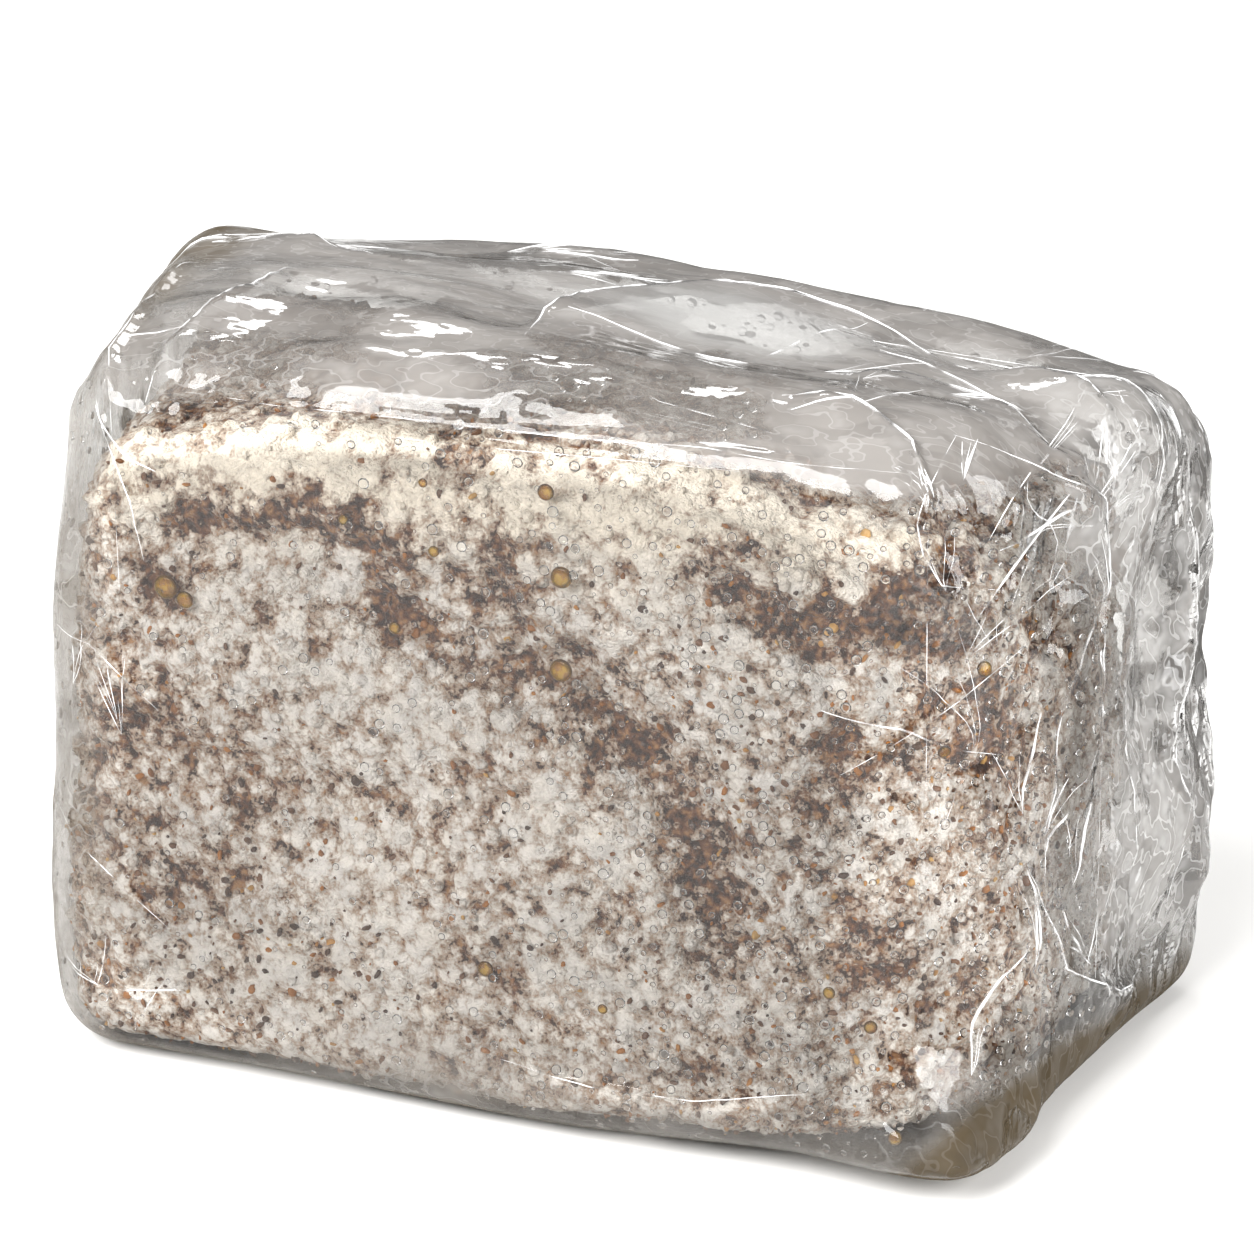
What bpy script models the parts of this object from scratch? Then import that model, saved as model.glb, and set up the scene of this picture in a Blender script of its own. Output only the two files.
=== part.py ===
# A mushroom grow block: sawdust and wood chips knitted into one mass by white
# mycelium, in a loose bag of clear film. The bag's free end is folded down
# behind the block and is left open at its mouth.
# Metres, +Z up, the front towards -Y, the origin under the middle of the block.

import math

import bmesh
import bpy
from mathutils import Vector, noise

MM = 0.001

# The plain box that the film is pulled from, before it settles
BAG_HALF_LENGTH = 100.8 * MM
BAG_HALF_DEPTH = 54.2 * MM
BAG_HEIGHT = 142.6 * MM
BAG_UPRIGHT_RADIUS = 13.4 * MM
BAG_FRONT_RIGHT_RADIUS = 32.0 * MM
ROUND_UPRIGHT_REACH = 0.8
BAG_TOP_RADIUS = 13.6 * MM
BAG_FOOT_RADIUS = 10.4 * MM
FILM_WALL = 0.5 * MM
BAG_CELLS = (20, 12, 12)
GRID_CROWDING = 0.1

# The substrate is smaller than the bag: the film stands off it over the top
# and at the right-hand end, and is tight on it elsewhere
TIGHT_GAP = 1.9 * MM
HEADSPACE = 8.0 * MM
LEFT_HEADSPACE = 5.0 * MM
RIGHT_HEADSPACE = 9.0 * MM
HEADSPACE_WIDENS = 0.4
RIGHT_STANDOFF = 6.5 * MM
STANDOFF_GROWS_BACK = 0.6
BLOCK_UPRIGHT_RADIUS = 14.0 * MM
BLOCK_FRONT_RIGHT_RADIUS = 42.0 * MM
BLOCK_TOP_RADIUS = 13.0 * MM
BLOCK_FOOT_RADIUS = 8.0 * MM
BLOCK_CELLS = (29, 12, 18)

# How the filled bag slumps: shares of the plain box's length, depth and height
PLAN_TAPER = 0.089
LENGTH_FLARE = 0.034
DEPTH_FLARE = 0.032
BELLY = 0.018
TOP_FALL_RIGHT = 0.024
TOP_FALL_BACK = 0.019
TOP_TWIST = 0.026
TOP_CROWN = 0.042
SLUMP_STARTS = 0.2

# Where handling pulled the film out or pushed it in: the place in shares of
# the plain box, how far the pull reaches, and how far the film moved
FILM_PULLS = (
    ("back left peak", (-0.8, 1.0, 1.0), 35 * MM, (-6.3 * MM, 0.0, -2.2 * MM)),
    ("top right shoulder", (1.0, 1.0, 0.88), 30 * MM, (2.5 * MM, 0.0, -3.3 * MM)),
    ("top right dip", (0.72, 0.6, 1.0), 22 * MM, (0.0, 0.0, -2.6 * MM)),
    ("top right ear", (1.0, 0.3, 1.0), 15 * MM, (3.4 * MM, 0.0, 4.2 * MM)),
    ("right ear tip", (1.0, 0.05, 0.92), 12 * MM, (5.0 * MM, 0.0, 1.0 * MM)),
    ("bottom right ear", (0.95, -0.95, 0.03), 19 * MM, (11.0 * MM, -13.0 * MM, 0.0)),
    ("front foot", (0.3, -1.0, 0.06), 66 * MM, (0.0, -4.4 * MM, 0.0)),
    ("left side belly", (-1.0, -1.0, 0.2), 40 * MM, (-6.6 * MM, 0.0, 0.0)),
    ("left side fold", (-1.0, -1.0, 0.66), 24 * MM, (-2.6 * MM, 0.0, 0.0)),
    ("right end belly", (1.0, 1.0, 0.16), 36 * MM, (4.6 * MM, 0.0, 0.0)),
)

# Waves over the top and pleats down the right-hand end: their size along X,
# Y and Z, their height, and where on the plain box they begin
TOP_WAVE_SIZE = (70 * MM, 17 * MM, 60 * MM)
TOP_WAVE_HEIGHT = 2.8 * MM
TOP_WAVES_START = 0.86
END_PLEAT_SIZE = (40 * MM, 24 * MM, 75 * MM)
END_PLEAT_HEIGHT = 3.0 * MM
PLEAT_STEEPNESS = 3.2
END_PLEATS_START = 0.62
END_PLEATS_LOW = 0.25

# Furrows in the front of the block: points across and up the face, half
# width and depth
FRONT_FURROWS = (
    (
        "long diagonal furrow",
        ((-38, 108), (-8, 100), (14, 95), (31, 82), (39, 66), (44, 43)),
        9.0,
        5.5,
    ),
    ("upper left ledge", ((-74, 118), (-52, 116), (-28, 112), (-4, 110)), 6.0, 3.2),
    ("upper right ledge", ((38, 121), (58, 113), (74, 109), (88, 108)), 6.5, 3.6),
    ("lower left crease", ((-84, 60), (-62, 66), (-38, 60), (-16, 68)), 7.0, 2.4),
    ("lower right crease", ((56, 60), (66, 42), (78, 30)), 7.0, 2.2),
)
FRONT_EDGE_FADE = 0.25
LUMP_SIZE = 24 * MM
LUMP_HEIGHT = 3.0 * MM
KNOB_SIZE = 11 * MM
KNOB_HEIGHT = 1.3 * MM
TOP_LUMP_SIZE = 19 * MM
TOP_LUMP_HEIGHT = 5.0 * MM
RELIEF_FADE = 9 * MM
RELIEF_CENTRE = Vector((0.0, 0.0, 64 * MM))
RELIEF_AIM = Vector((0.35, 1.0, 0.6))
KNOB_PLACE = Vector((7.0, 3.0, 5.0))

# The free end of the bag: where it leaves the back, and how it hangs
MOUTH_HALF_WIDTH = 0.80
MOUTH_LEVELS = (0.81, 0.87)
TAIL_STEPS = 5
TAIL_LENGTH = 62 * MM
TAIL_NARROWS = 0.10
TAIL_STANDOFF = 1.2 * MM
TAIL_THICKNESS = 2.2 * MM

# The origin lies under the middle of the whole object
CENTRE_SHIFT = Vector((-2.2 * MM, 1.4 * MM, 0.0))


def clear_scene():
    for item in list(bpy.data.objects):
        bpy.data.objects.remove(item)


def ease(share):
    """A smooth step from 0 to 1."""
    share = min(max(share, 0.0), 1.0)
    return share * share * (3 - 2 * share)


def spread(share):
    """Draws grid lines towards the edges, where the form turns."""
    return share + GRID_CROWDING * math.sin(math.pi * share)


def sliced_box(cells):
    """A cube from -1 to 1, cut into a grid of quads on every side."""
    bm = bmesh.new()
    bmesh.ops.create_cube(bm, size=2.0)
    for axis, count in enumerate(cells):
        direction = Vector((0.0, 0.0, 0.0))
        direction[axis] = 1.0
        for step in range(1, count):
            level = spread(2 * step / count - 1)
            bmesh.ops.bisect_plane(
                bm,
                geom=bm.verts[:] + bm.edges[:] + bm.faces[:],
                plane_co=direction * level,
                plane_no=direction,
            )
    return bm


def upright_radius(point, radius, front_right_radius):
    """The uprights are square but for a well rounded one at the front right."""
    share = ease(point.x / ROUND_UPRIGHT_REACH) * ease(-point.y / ROUND_UPRIGHT_REACH)
    return radius + (front_right_radius - radius) * share


def round_box(point, low, high, upright, top_radius, foot_radius):
    """Moves a point of the unit cube onto a box with rounded edges."""
    share = [(point[i] + 1) / 2 for i in range(3)]
    place = Vector(low[i] + (high[i] - low[i]) * share[i] for i in range(3))
    level_radius = top_radius if point.z > 0 else foot_radius
    radii = (upright, upright, level_radius)
    inner = Vector(
        min(max(place[i], low[i] + radii[i]), high[i] - radii[i]) for i in range(3)
    )
    offset = Vector((place[i] - inner[i]) / radii[i] for i in range(3))
    if offset.length > 0:
        offset.normalize()
    return inner + Vector(offset[i] * radii[i] for i in range(3))


def settle(place):
    """The slump and lean that the bag shares with what fills it."""
    along = place.x / BAG_HALF_LENGTH
    across = place.y / BAG_HALF_DEPTH
    height = place.z / BAG_HEIGHT
    belly = BELLY * (4 * height * (1 - height) - 0.5)
    length = (1 + PLAN_TAPER * across) * (1 + LENGTH_FLARE * (0.5 - height) + belly)
    depth = 1 + DEPTH_FLARE * (0.5 - height) + belly
    lift = TOP_CROWN * (1 - along * along) - TOP_FALL_RIGHT * along
    lift -= TOP_FALL_BACK * across + TOP_TWIST * along * across
    rise = 1 + lift * ease((height - SLUMP_STARTS) / (1 - SLUMP_STARTS))
    return Vector((place.x * length, place.y * depth, place.z * rise))


def pulls(place):
    """How far handling has drawn the film from its plain form."""
    moved = Vector((0.0, 0.0, 0.0))
    for _, centre, reach, pull in FILM_PULLS:
        middle = Vector(
            (
                centre[0] * BAG_HALF_LENGTH,
                centre[1] * BAG_HALF_DEPTH,
                centre[2] * BAG_HEIGHT,
            )
        )
        distance = (place - middle).length / reach
        moved += Vector(pull) * math.exp(-distance * distance)
    return moved


def wave(place, size):
    """Soft waves, from -1 to 1, drawn out along their length."""
    return noise.noise(Vector(place[i] / size[i] for i in range(3)))


def pleat(place, size):
    """Sharp crests with soft valleys between, from about -1 to 1."""
    return 1 - PLEAT_STEEPNESS * abs(wave(place, size))


def film_place(point):
    """The bag's outer surface for a point of the unit cube."""
    place = round_box(
        point,
        (-BAG_HALF_LENGTH, -BAG_HALF_DEPTH, 0.0),
        (BAG_HALF_LENGTH, BAG_HALF_DEPTH, BAG_HEIGHT),
        upright_radius(point, BAG_UPRIGHT_RADIUS, BAG_FRONT_RIGHT_RADIUS),
        BAG_TOP_RADIUS,
        BAG_FOOT_RADIUS,
    )
    form = settle(place) + pulls(place)
    height = place.z / BAG_HEIGHT
    top = ease((height - TOP_WAVES_START) / (1 - TOP_WAVES_START))
    along = place.x / BAG_HALF_LENGTH
    end = ease((along - END_PLEATS_START) / (1 - END_PLEATS_START))
    end *= ease(height / END_PLEATS_LOW)
    form.z += TOP_WAVE_HEIGHT * top * wave(place, TOP_WAVE_SIZE)
    form.x += END_PLEAT_HEIGHT * end * pleat(place, END_PLEAT_SIZE)
    return form + CENTRE_SHIFT


def distance_to_path(x, z, path):
    """The shortest way from a point of the front face to a furrow's line."""
    nearest = math.inf
    spot = Vector((x, z))
    for start, finish in zip(path, path[1:]):
        a = Vector(start)
        run = Vector(finish) - a
        share = min(max((spot - a).dot(run) / run.length_squared, 0.0), 1.0)
        nearest = min(nearest, (spot - a - run * share).length)
    return nearest


def furrow_depth(place):
    """How deep the front is creased at a place, in metres."""
    depth = 0.0
    for _, path, half_width, deepest in FRONT_FURROWS:
        distance = distance_to_path(place.x / MM, place.z / MM, path) / half_width
        depth = max(depth, deepest * MM * math.exp(-distance * distance))
    return depth


def top_drop(place):
    """How far the uneven top of the block lies below a flat one."""
    along = place.x / BAG_HALF_LENGTH
    ends = 1 - HEADSPACE_WIDENS
    drop = LEFT_HEADSPACE * ease((-along - HEADSPACE_WIDENS) / ends)
    drop += RIGHT_HEADSPACE * ease((along - HEADSPACE_WIDENS) / ends)
    return drop + TOP_LUMP_HEIGHT * (0.5 + 0.5 * noise.noise(place / TOP_LUMP_SIZE))


def block_place(point):
    """The substrate's surface for a point of the unit cube."""
    low = (-BAG_HALF_LENGTH + TIGHT_GAP, -BAG_HALF_DEPTH + TIGHT_GAP, TIGHT_GAP)
    high = (
        BAG_HALF_LENGTH - TIGHT_GAP - RIGHT_STANDOFF * (1 + STANDOFF_GROWS_BACK * point.y),
        BAG_HALF_DEPTH - TIGHT_GAP,
        BAG_HEIGHT - TIGHT_GAP - HEADSPACE,
    )
    upright = upright_radius(point, BLOCK_UPRIGHT_RADIUS, BLOCK_FRONT_RIGHT_RADIUS)
    place = round_box(point, low, high, upright, BLOCK_TOP_RADIUS, BLOCK_FOOT_RADIUS)
    form = settle(place)
    inward = (RELIEF_CENTRE - place) * RELIEF_AIM
    inward.normalize()
    clear_of_floor = ease((place.z - TIGHT_GAP) / RELIEF_FADE)
    lump = 0.5 + 0.5 * noise.noise(place / LUMP_SIZE)
    knob = 0.5 + 0.5 * noise.noise(place / KNOB_SIZE + KNOB_PLACE)
    relief = LUMP_HEIGHT * lump + KNOB_HEIGHT * knob
    front = ease(1 - (1 + point.y) / FRONT_EDGE_FADE)
    relief += furrow_depth(form) * front
    form += inward * relief * clear_of_floor
    form.z -= top_drop(place) * ease(place.z / high[2] * 2 - 1)
    return form + CENTRE_SHIFT


def plain_material(name, colour, roughness):
    """A dielectric of one colour."""
    material = bpy.data.materials.new(name)
    material.use_nodes = True
    shader = material.node_tree.nodes["Principled BSDF"]
    shader.inputs["Base Color"].default_value = (*colour, 1.0)
    shader.inputs["Roughness"].default_value = roughness
    shader.inputs["Metallic"].default_value = 0.0
    return material


def add_object(name, bm, material):
    """Triangulates the mesh in one fixed way and puts it in the scene."""
    bmesh.ops.triangulate(bm, faces=bm.faces[:], quad_method="FIXED")
    bmesh.ops.recalc_face_normals(bm, faces=bm.faces[:])
    mesh = bpy.data.meshes.new(name)
    bm.to_mesh(mesh)
    bm.free()
    mesh.materials.append(material)
    mesh.shade_smooth()
    item = bpy.data.objects.new(name, mesh)
    bpy.context.scene.collection.objects.link(item)
    return item


def build_block():
    bm = sliced_box(BLOCK_CELLS)
    for vert in bm.verts:
        vert.co = block_place(vert.co.copy())
    mycelium = plain_material("mycelium and sawdust", (0.52, 0.44, 0.36), 0.85)
    return add_object("substrate_block", bm, mycelium)


def cut_mouth(bm):
    """Opens a slot across the back, one row of quads high: its rim, and its top."""
    low, high = MOUTH_LEVELS
    lid = []
    for face in bm.faces:
        middle = face.calc_center_median()
        level = (middle.z + 1) / 2
        on_back = face.normal.y > 0.5 and abs(middle.x) < MOUTH_HALF_WIDTH
        if on_back and low < level < high:
            lid.append(face)
    bmesh.ops.delete(bm, geom=lid, context="FACES")
    rim = [edge for edge in bm.edges if edge.is_boundary]
    middle = low + high - 1
    return rim, [vert for vert in bm.verts if vert.is_boundary and vert.co.z > middle]


def tail_place(start, outer, share):
    """A rim point's way down the sleeve, from the slot at 0 to the mouth at 1."""
    stand = TAIL_THICKNESS if outer else 0.0
    drop = TAIL_LENGTH * share - stand * (1 - share)
    narrowed = start.x * (1 - TAIL_NARROWS * share)
    return Vector((narrowed, start.y + TAIL_STANDOFF + stand, start.z - drop))


def build_tail(bm, rim, upper):
    """Draws the slot's rim out into a flat sleeve that hangs down the back."""
    rim_verts = [vert for vert in bm.verts if vert.is_boundary]
    lower = [vert for vert in rim_verts if vert not in upper]
    back = max(vert.co.y for vert in bm.verts)
    starts = {}
    for vert in rim_verts:
        below = min(lower, key=lambda other: abs(other.co.x - vert.co.x))
        starts[vert] = (Vector((vert.co.x, back, below.co.z)), vert in upper)
    for step in range(TAIL_STEPS + 1):
        grown = bmesh.ops.extrude_edge_only(bm, edges=rim)["geom"]
        new_starts = {}
        for vert in grown:
            if isinstance(vert, bmesh.types.BMVert):
                linked = [edge.other_vert(vert) for edge in vert.link_edges]
                source = next(other for other in linked if other in starts)
                new_starts[vert] = starts[source]
        for vert, (start, outer) in new_starts.items():
            vert.co = tail_place(start, outer, step / TAIL_STEPS)
        starts = new_starts
        new_edges = [item for item in grown if isinstance(item, bmesh.types.BMEdge)]
        rim = [edge for edge in new_edges if edge.is_boundary]


def build_bag():
    bm = sliced_box(BAG_CELLS)
    rim, upper = cut_mouth(bm)
    for vert in bm.verts:
        vert.co = film_place(vert.co.copy())
    build_tail(bm, rim, upper)
    film = plain_material("clear film", (0.78, 0.77, 0.75), 0.12)
    bag = add_object("bag", bm, film)
    wall = bag.modifiers.new("film wall", "SOLIDIFY")
    wall.solidify_mode = "NON_MANIFOLD"
    wall.thickness = FILM_WALL
    wall.offset = -1.0
    return bag


def main():
    clear_scene()
    build_block()
    build_bag()


main()
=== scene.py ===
import math
import random

import bmesh
import bpy
from mathutils import Matrix, Vector, noise
from mathutils.bvhtree import BVHTree


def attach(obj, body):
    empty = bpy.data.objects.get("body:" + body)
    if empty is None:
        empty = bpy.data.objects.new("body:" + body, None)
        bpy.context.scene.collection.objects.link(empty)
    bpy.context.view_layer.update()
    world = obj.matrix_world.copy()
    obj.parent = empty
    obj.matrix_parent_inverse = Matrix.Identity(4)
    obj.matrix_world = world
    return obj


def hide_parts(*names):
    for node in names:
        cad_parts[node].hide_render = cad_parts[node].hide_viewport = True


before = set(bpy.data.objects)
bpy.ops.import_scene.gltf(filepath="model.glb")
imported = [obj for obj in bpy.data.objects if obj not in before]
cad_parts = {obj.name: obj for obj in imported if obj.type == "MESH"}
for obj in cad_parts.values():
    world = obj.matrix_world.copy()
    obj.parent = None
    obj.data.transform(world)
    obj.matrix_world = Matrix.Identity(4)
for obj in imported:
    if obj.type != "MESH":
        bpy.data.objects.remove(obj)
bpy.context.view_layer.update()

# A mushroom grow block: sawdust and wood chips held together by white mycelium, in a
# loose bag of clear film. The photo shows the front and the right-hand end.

mm = 0.001
noise.seed_set(12)  # without it noise_vector gives other values each run

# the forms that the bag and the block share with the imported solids
bag = {
    "halfLength": 100.8 * mm,
    "halfDepth": 54.2 * mm,
    "height": 142.6 * mm,
    "uprightRadius": 13.4 * mm,
    "frontRightRadius": 32.0 * mm,
    "roundUprightReach": 0.8,
    "topRadius": 13.6 * mm,
    "footRadius": 10.4 * mm,
    "planTaper": 0.089,
    "lengthFlare": 0.034,
    "depthFlare": 0.032,
    "belly": 0.018,
    "topFallRight": 0.024,
    "topFallBack": 0.019,
    "topTwist": 0.026,
    "topCrown": 0.042,
    "slumpStarts": 0.2,
    "topWaveSize": (70 * mm, 17 * mm, 60 * mm),
    "topWaveHeight": 2.8 * mm,
    "topWavesStart": 0.86,
    "endPleatSize": (40 * mm, 24 * mm, 75 * mm),
    "endPleatHeight": 3.0 * mm,
    "pleatSteepness": 3.2,
    "endPleatsStart": 0.62,
    "endPleatsLow": 0.25,
}
filmPulls = (
    ("back left peak", (-0.8, 1.0, 1.0), 35 * mm, (-6.3 * mm, 0.0, -2.2 * mm)),
    ("top right shoulder", (1.0, 1.0, 0.88), 30 * mm, (2.5 * mm, 0.0, -3.3 * mm)),
    ("top right dip", (0.72, 0.6, 1.0), 22 * mm, (0.0, 0.0, -2.6 * mm)),
    ("top right ear", (1.0, 0.3, 1.0), 15 * mm, (3.4 * mm, 0.0, 4.2 * mm)),
    ("right ear tip", (1.0, 0.05, 0.92), 12 * mm, (5.0 * mm, 0.0, 1.0 * mm)),
    ("bottom right ear", (0.95, -0.95, 0.03), 19 * mm, (11.0 * mm, -13.0 * mm, 0.0)),
    ("front foot", (0.3, -1.0, 0.06), 66 * mm, (0.0, -4.4 * mm, 0.0)),
    ("left side belly", (-1.0, -1.0, 0.2), 40 * mm, (-6.6 * mm, 0.0, 0.0)),
    ("left side fold", (-1.0, -1.0, 0.66), 24 * mm, (-2.6 * mm, 0.0, 0.0)),
    ("right end belly", (1.0, 1.0, 0.16), 36 * mm, (4.6 * mm, 0.0, 0.0)),
)
block = {
    "tightGap": 1.9 * mm,
    "headspace": 8.0 * mm,
    "leftHeadspace": 5.0 * mm,
    "rightHeadspace": 9.0 * mm,
    "headspaceWidens": 0.4,
    "rightStandoff": 6.5 * mm,
    "standoffGrowsBack": 0.6,
    "uprightRadius": 14.0 * mm,
    "frontRightRadius": 42.0 * mm,
    "topRadius": 13.0 * mm,
    "footRadius": 8.0 * mm,
    "frontEdgeFade": 0.25,
    "lumpSize": 24 * mm,
    "lumpHeight": 3.0 * mm,
    "knobSize": 11 * mm,
    "knobHeight": 1.3 * mm,
    "topLumpSize": 19 * mm,
    "topLumpHeight": 5.0 * mm,
    "reliefFade": 9 * mm,
}
frontFurrows = (  # across and up the face in mm, half width, depth
    (((-38, 108), (-8, 100), (14, 95), (31, 82), (39, 66), (44, 43)), 9.0, 5.5),
    (((-74, 118), (-52, 116), (-28, 112), (-4, 110)), 6.0, 3.2),
    (((38, 121), (58, 113), (74, 109), (88, 108)), 6.5, 3.6),
    (((-84, 60), (-62, 66), (-38, 60), (-16, 68)), 7.0, 2.4),
    (((56, 60), (66, 42), (78, 30)), 7.0, 2.2),
)
blockFollows = ("front foot", "left side belly", "left side fold")  # here felt lies against film
reliefCentre = Vector((0.0, 0.0, 64 * mm))
reliefAim = Vector((0.35, 1.0, 0.6))
knobPlace = Vector((7.0, 3.0, 5.0))
centreShift = Vector((-2.2 * mm, 1.4 * mm, 0.0))


def ease(share):
    share = min(max(share, 0.0), 1.0)
    return share * share * (3 - 2 * share)


def past(value, edge):  # from 0 to 1 over an edge's start and width, negative where it falls
    return ease((value - edge[0]) / edge[1])


def weighed(weights, sources):
    total = 0.0
    for name, weight in weights.items():
        total += weight * sources[name]
    return total


def strongest(weights, sources):
    return max(weight * sources[name] for name, weight in weights.items())


def thinned(share, losses, sources):
    for name, loss in losses.items():
        share *= 1 - loss * sources[name]
    return share


def uprightRadius(point, radius, frontRightRadius):
    reach = bag["roundUprightReach"]
    share = ease(point.x / reach) * ease(-point.y / reach)
    return radius + (frontRightRadius - radius) * share


def roundBox(point, low, high, upright, topRadius, footRadius):
    place = Vector([low[i] + (high[i] - low[i]) * (point[i] + 1) / 2 for i in range(3)])
    radii = (upright, upright, topRadius if point.z > 0 else footRadius)
    inner = Vector([min(max(place[i], low[i] + radii[i]), high[i] - radii[i]) for i in range(3)])
    offset = Vector([(place[i] - inner[i]) / radii[i] for i in range(3)])
    if offset.length > 0:
        offset.normalize()
    return inner + Vector([offset[i] * radii[i] for i in range(3)])


def settle(place):  # the slump and lean of the filled bag
    along = place.x / bag["halfLength"]
    across = place.y / bag["halfDepth"]
    height = place.z / bag["height"]
    belly = bag["belly"] * (4 * height * (1 - height) - 0.5)
    length = (1 + bag["planTaper"] * across) * (1 + bag["lengthFlare"] * (0.5 - height) + belly)
    depth = 1 + bag["depthFlare"] * (0.5 - height) + belly
    lift = bag["topCrown"] * (1 - along * along) - bag["topFallRight"] * along
    lift -= bag["topFallBack"] * across + bag["topTwist"] * along * across
    rise = 1 + lift * ease((height - bag["slumpStarts"]) / (1 - bag["slumpStarts"]))
    return Vector((place.x * length, place.y * depth, place.z * rise))


def pulls(place, followed=None):  # how far handling has drawn the film
    moved = Vector((0.0, 0.0, 0.0))
    sizes = (bag["halfLength"], bag["halfDepth"], bag["height"])
    for name, centre, reach, pull in filmPulls:
        if followed and name not in followed:
            continue
        middle = Vector([centre[i] * sizes[i] for i in range(3)])
        distance = (place - middle).length / reach
        if distance < 4:
            moved += Vector(pull) * math.exp(-distance * distance)
    return moved


def wave(place, size):
    return noise.noise(Vector((place.x / size[0], place.y / size[1], place.z / size[2])))


def filmPlace(point):  # the bag's surface for a point of the unit cube
    place = roundBox(
        point,
        (-bag["halfLength"], -bag["halfDepth"], 0.0),
        (bag["halfLength"], bag["halfDepth"], bag["height"]),
        uprightRadius(point, bag["uprightRadius"], bag["frontRightRadius"]),
        bag["topRadius"],
        bag["footRadius"],
    )
    form = settle(place) + pulls(place)
    height = place.z / bag["height"]
    top = ease((height - bag["topWavesStart"]) / (1 - bag["topWavesStart"]))
    end = ease((place.x / bag["halfLength"] - bag["endPleatsStart"]) / (1 - bag["endPleatsStart"]))
    end *= ease(height / bag["endPleatsLow"])
    form.z += bag["topWaveHeight"] * top * wave(place, bag["topWaveSize"])
    pleat = 1 - bag["pleatSteepness"] * abs(wave(place, bag["endPleatSize"]))
    form.x += bag["endPleatHeight"] * end * pleat
    return form + centreShift


def distanceToPath(x, z, path):
    nearest = math.inf
    spot = Vector((x, z))
    for start, finish in zip(path, path[1:]):
        a = Vector(start)
        run = Vector(finish) - a
        share = min(max((spot - a).dot(run) / run.length_squared, 0.0), 1.0)
        nearest = min(nearest, (spot - a - run * share).length)
    return nearest


def furrowDepth(place):
    depth = 0.0
    for path, halfWidth, deepest in frontFurrows:
        distance = distanceToPath(place.x / mm, place.z / mm, path) / halfWidth
        if distance < 3:
            depth = max(depth, deepest * mm * math.exp(-distance * distance))
    return depth


def topDrop(place):
    along = place.x / bag["halfLength"]
    starts = block["headspaceWidens"]
    drop = block["leftHeadspace"] * ease((-along - starts) / (1 - starts))
    drop += block["rightHeadspace"] * ease((along - starts) / (1 - starts))
    return drop + block["topLumpHeight"] * (0.5 + 0.5 * noise.noise(place / block["topLumpSize"]))


def blockPlace(point):  # the substrate's surface for a point of the unit cube
    gap = block["tightGap"]
    standoff = block["rightStandoff"] * (1 + block["standoffGrowsBack"] * point.y)
    low = (-bag["halfLength"] + gap, -bag["halfDepth"] + gap, gap)
    high = (
        bag["halfLength"] - gap - standoff,
        bag["halfDepth"] - gap,
        bag["height"] - gap - block["headspace"],
    )
    upright = uprightRadius(point, block["uprightRadius"], block["frontRightRadius"])
    place = roundBox(point, low, high, upright, block["topRadius"], block["footRadius"])
    form = settle(place) + pulls(place, blockFollows)
    inward = (reliefCentre - place) * reliefAim
    inward.normalize()
    lump = 0.5 + 0.5 * noise.noise(place / block["lumpSize"])
    knob = 0.5 + 0.5 * noise.noise(place / block["knobSize"] + knobPlace)
    relief = block["lumpHeight"] * lump + block["knobHeight"] * knob
    relief += furrowDepth(form) * ease(1 - (1 + point.y) / block["frontEdgeFade"])
    form += inward * relief * ease((place.z - gap) / block["reliefFade"])
    form.z -= topDrop(place) * ease(place.z / high[2] * 2 - 1)
    return form + centreShift


def boxGrid(cells):  # the points and quads of a cube from -1 to 1
    index = {}
    points = []
    quads = []
    for axis in range(3):
        u = (axis + 1) % 3
        v = (axis + 2) % 3
        for side in (0, cells[axis]):
            for a in range(cells[u]):
                for b in range(cells[v]):
                    ring = []
                    for da, db in ((0, 0), (1, 0), (1, 1), (0, 1)):
                        cell = [side, side, side]
                        cell[u] = a + da
                        cell[v] = b + db
                        key = tuple(cell)
                        if key not in index:
                            index[key] = len(points)
                            points.append(Vector([2 * cell[i] / cells[i] - 1 for i in range(3)]))
                        ring.append(index[key])
                    quads.append(ring if side else ring[::-1])
    return points, quads


def addObject(name, data):
    item = bpy.data.objects.new(name, data)
    bpy.context.scene.collection.objects.link(item)
    return item


def addMesh(name, points, faces):
    mesh = bpy.data.meshes.new(name)
    mesh.from_pydata(points, [], faces)
    mesh.update()
    mesh.shade_smooth()
    return addObject(name, mesh)


def setAttribute(item, name, values):
    attribute = item.data.attributes.new(name, "FLOAT", "POINT")
    attribute.data.foreach_set("value", values)


def vertexNormals(item):
    return [normal.vector.copy() for normal in item.data.vertex_normals]


# materials

def linear(hexText):  # sRGB hex to linear
    channels = [int(hexText[i:i + 2], 16) / 255 for i in (1, 3, 5)]
    return (*[c / 12.92 if c <= 0.04045 else ((c + 0.055) / 1.055) ** 2.4 for c in channels], 1.0)


def addNode(tree, kind, sockets=None, **settings):
    item = tree.nodes.new(kind)
    for name, value in settings.items():
        setattr(item, name, value)
    for name, value in (sockets or {}).items():
        if isinstance(value, bpy.types.NodeSocket):
            tree.links.new(value, item.inputs[name])
        else:
            item.inputs[name].default_value = value
    return item


def newMaterial(name):
    material = bpy.data.materials.new(name)
    material.use_nodes = True
    material.node_tree.nodes.clear()
    return material, material.node_tree


def rampStops(ramp, stops):
    elements = ramp.color_ramp.elements
    while len(elements) < len(stops):
        elements.new(0.5)
    for element, (place, colour) in zip(elements, stops):
        element.position = place
        element.color = colour


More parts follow.
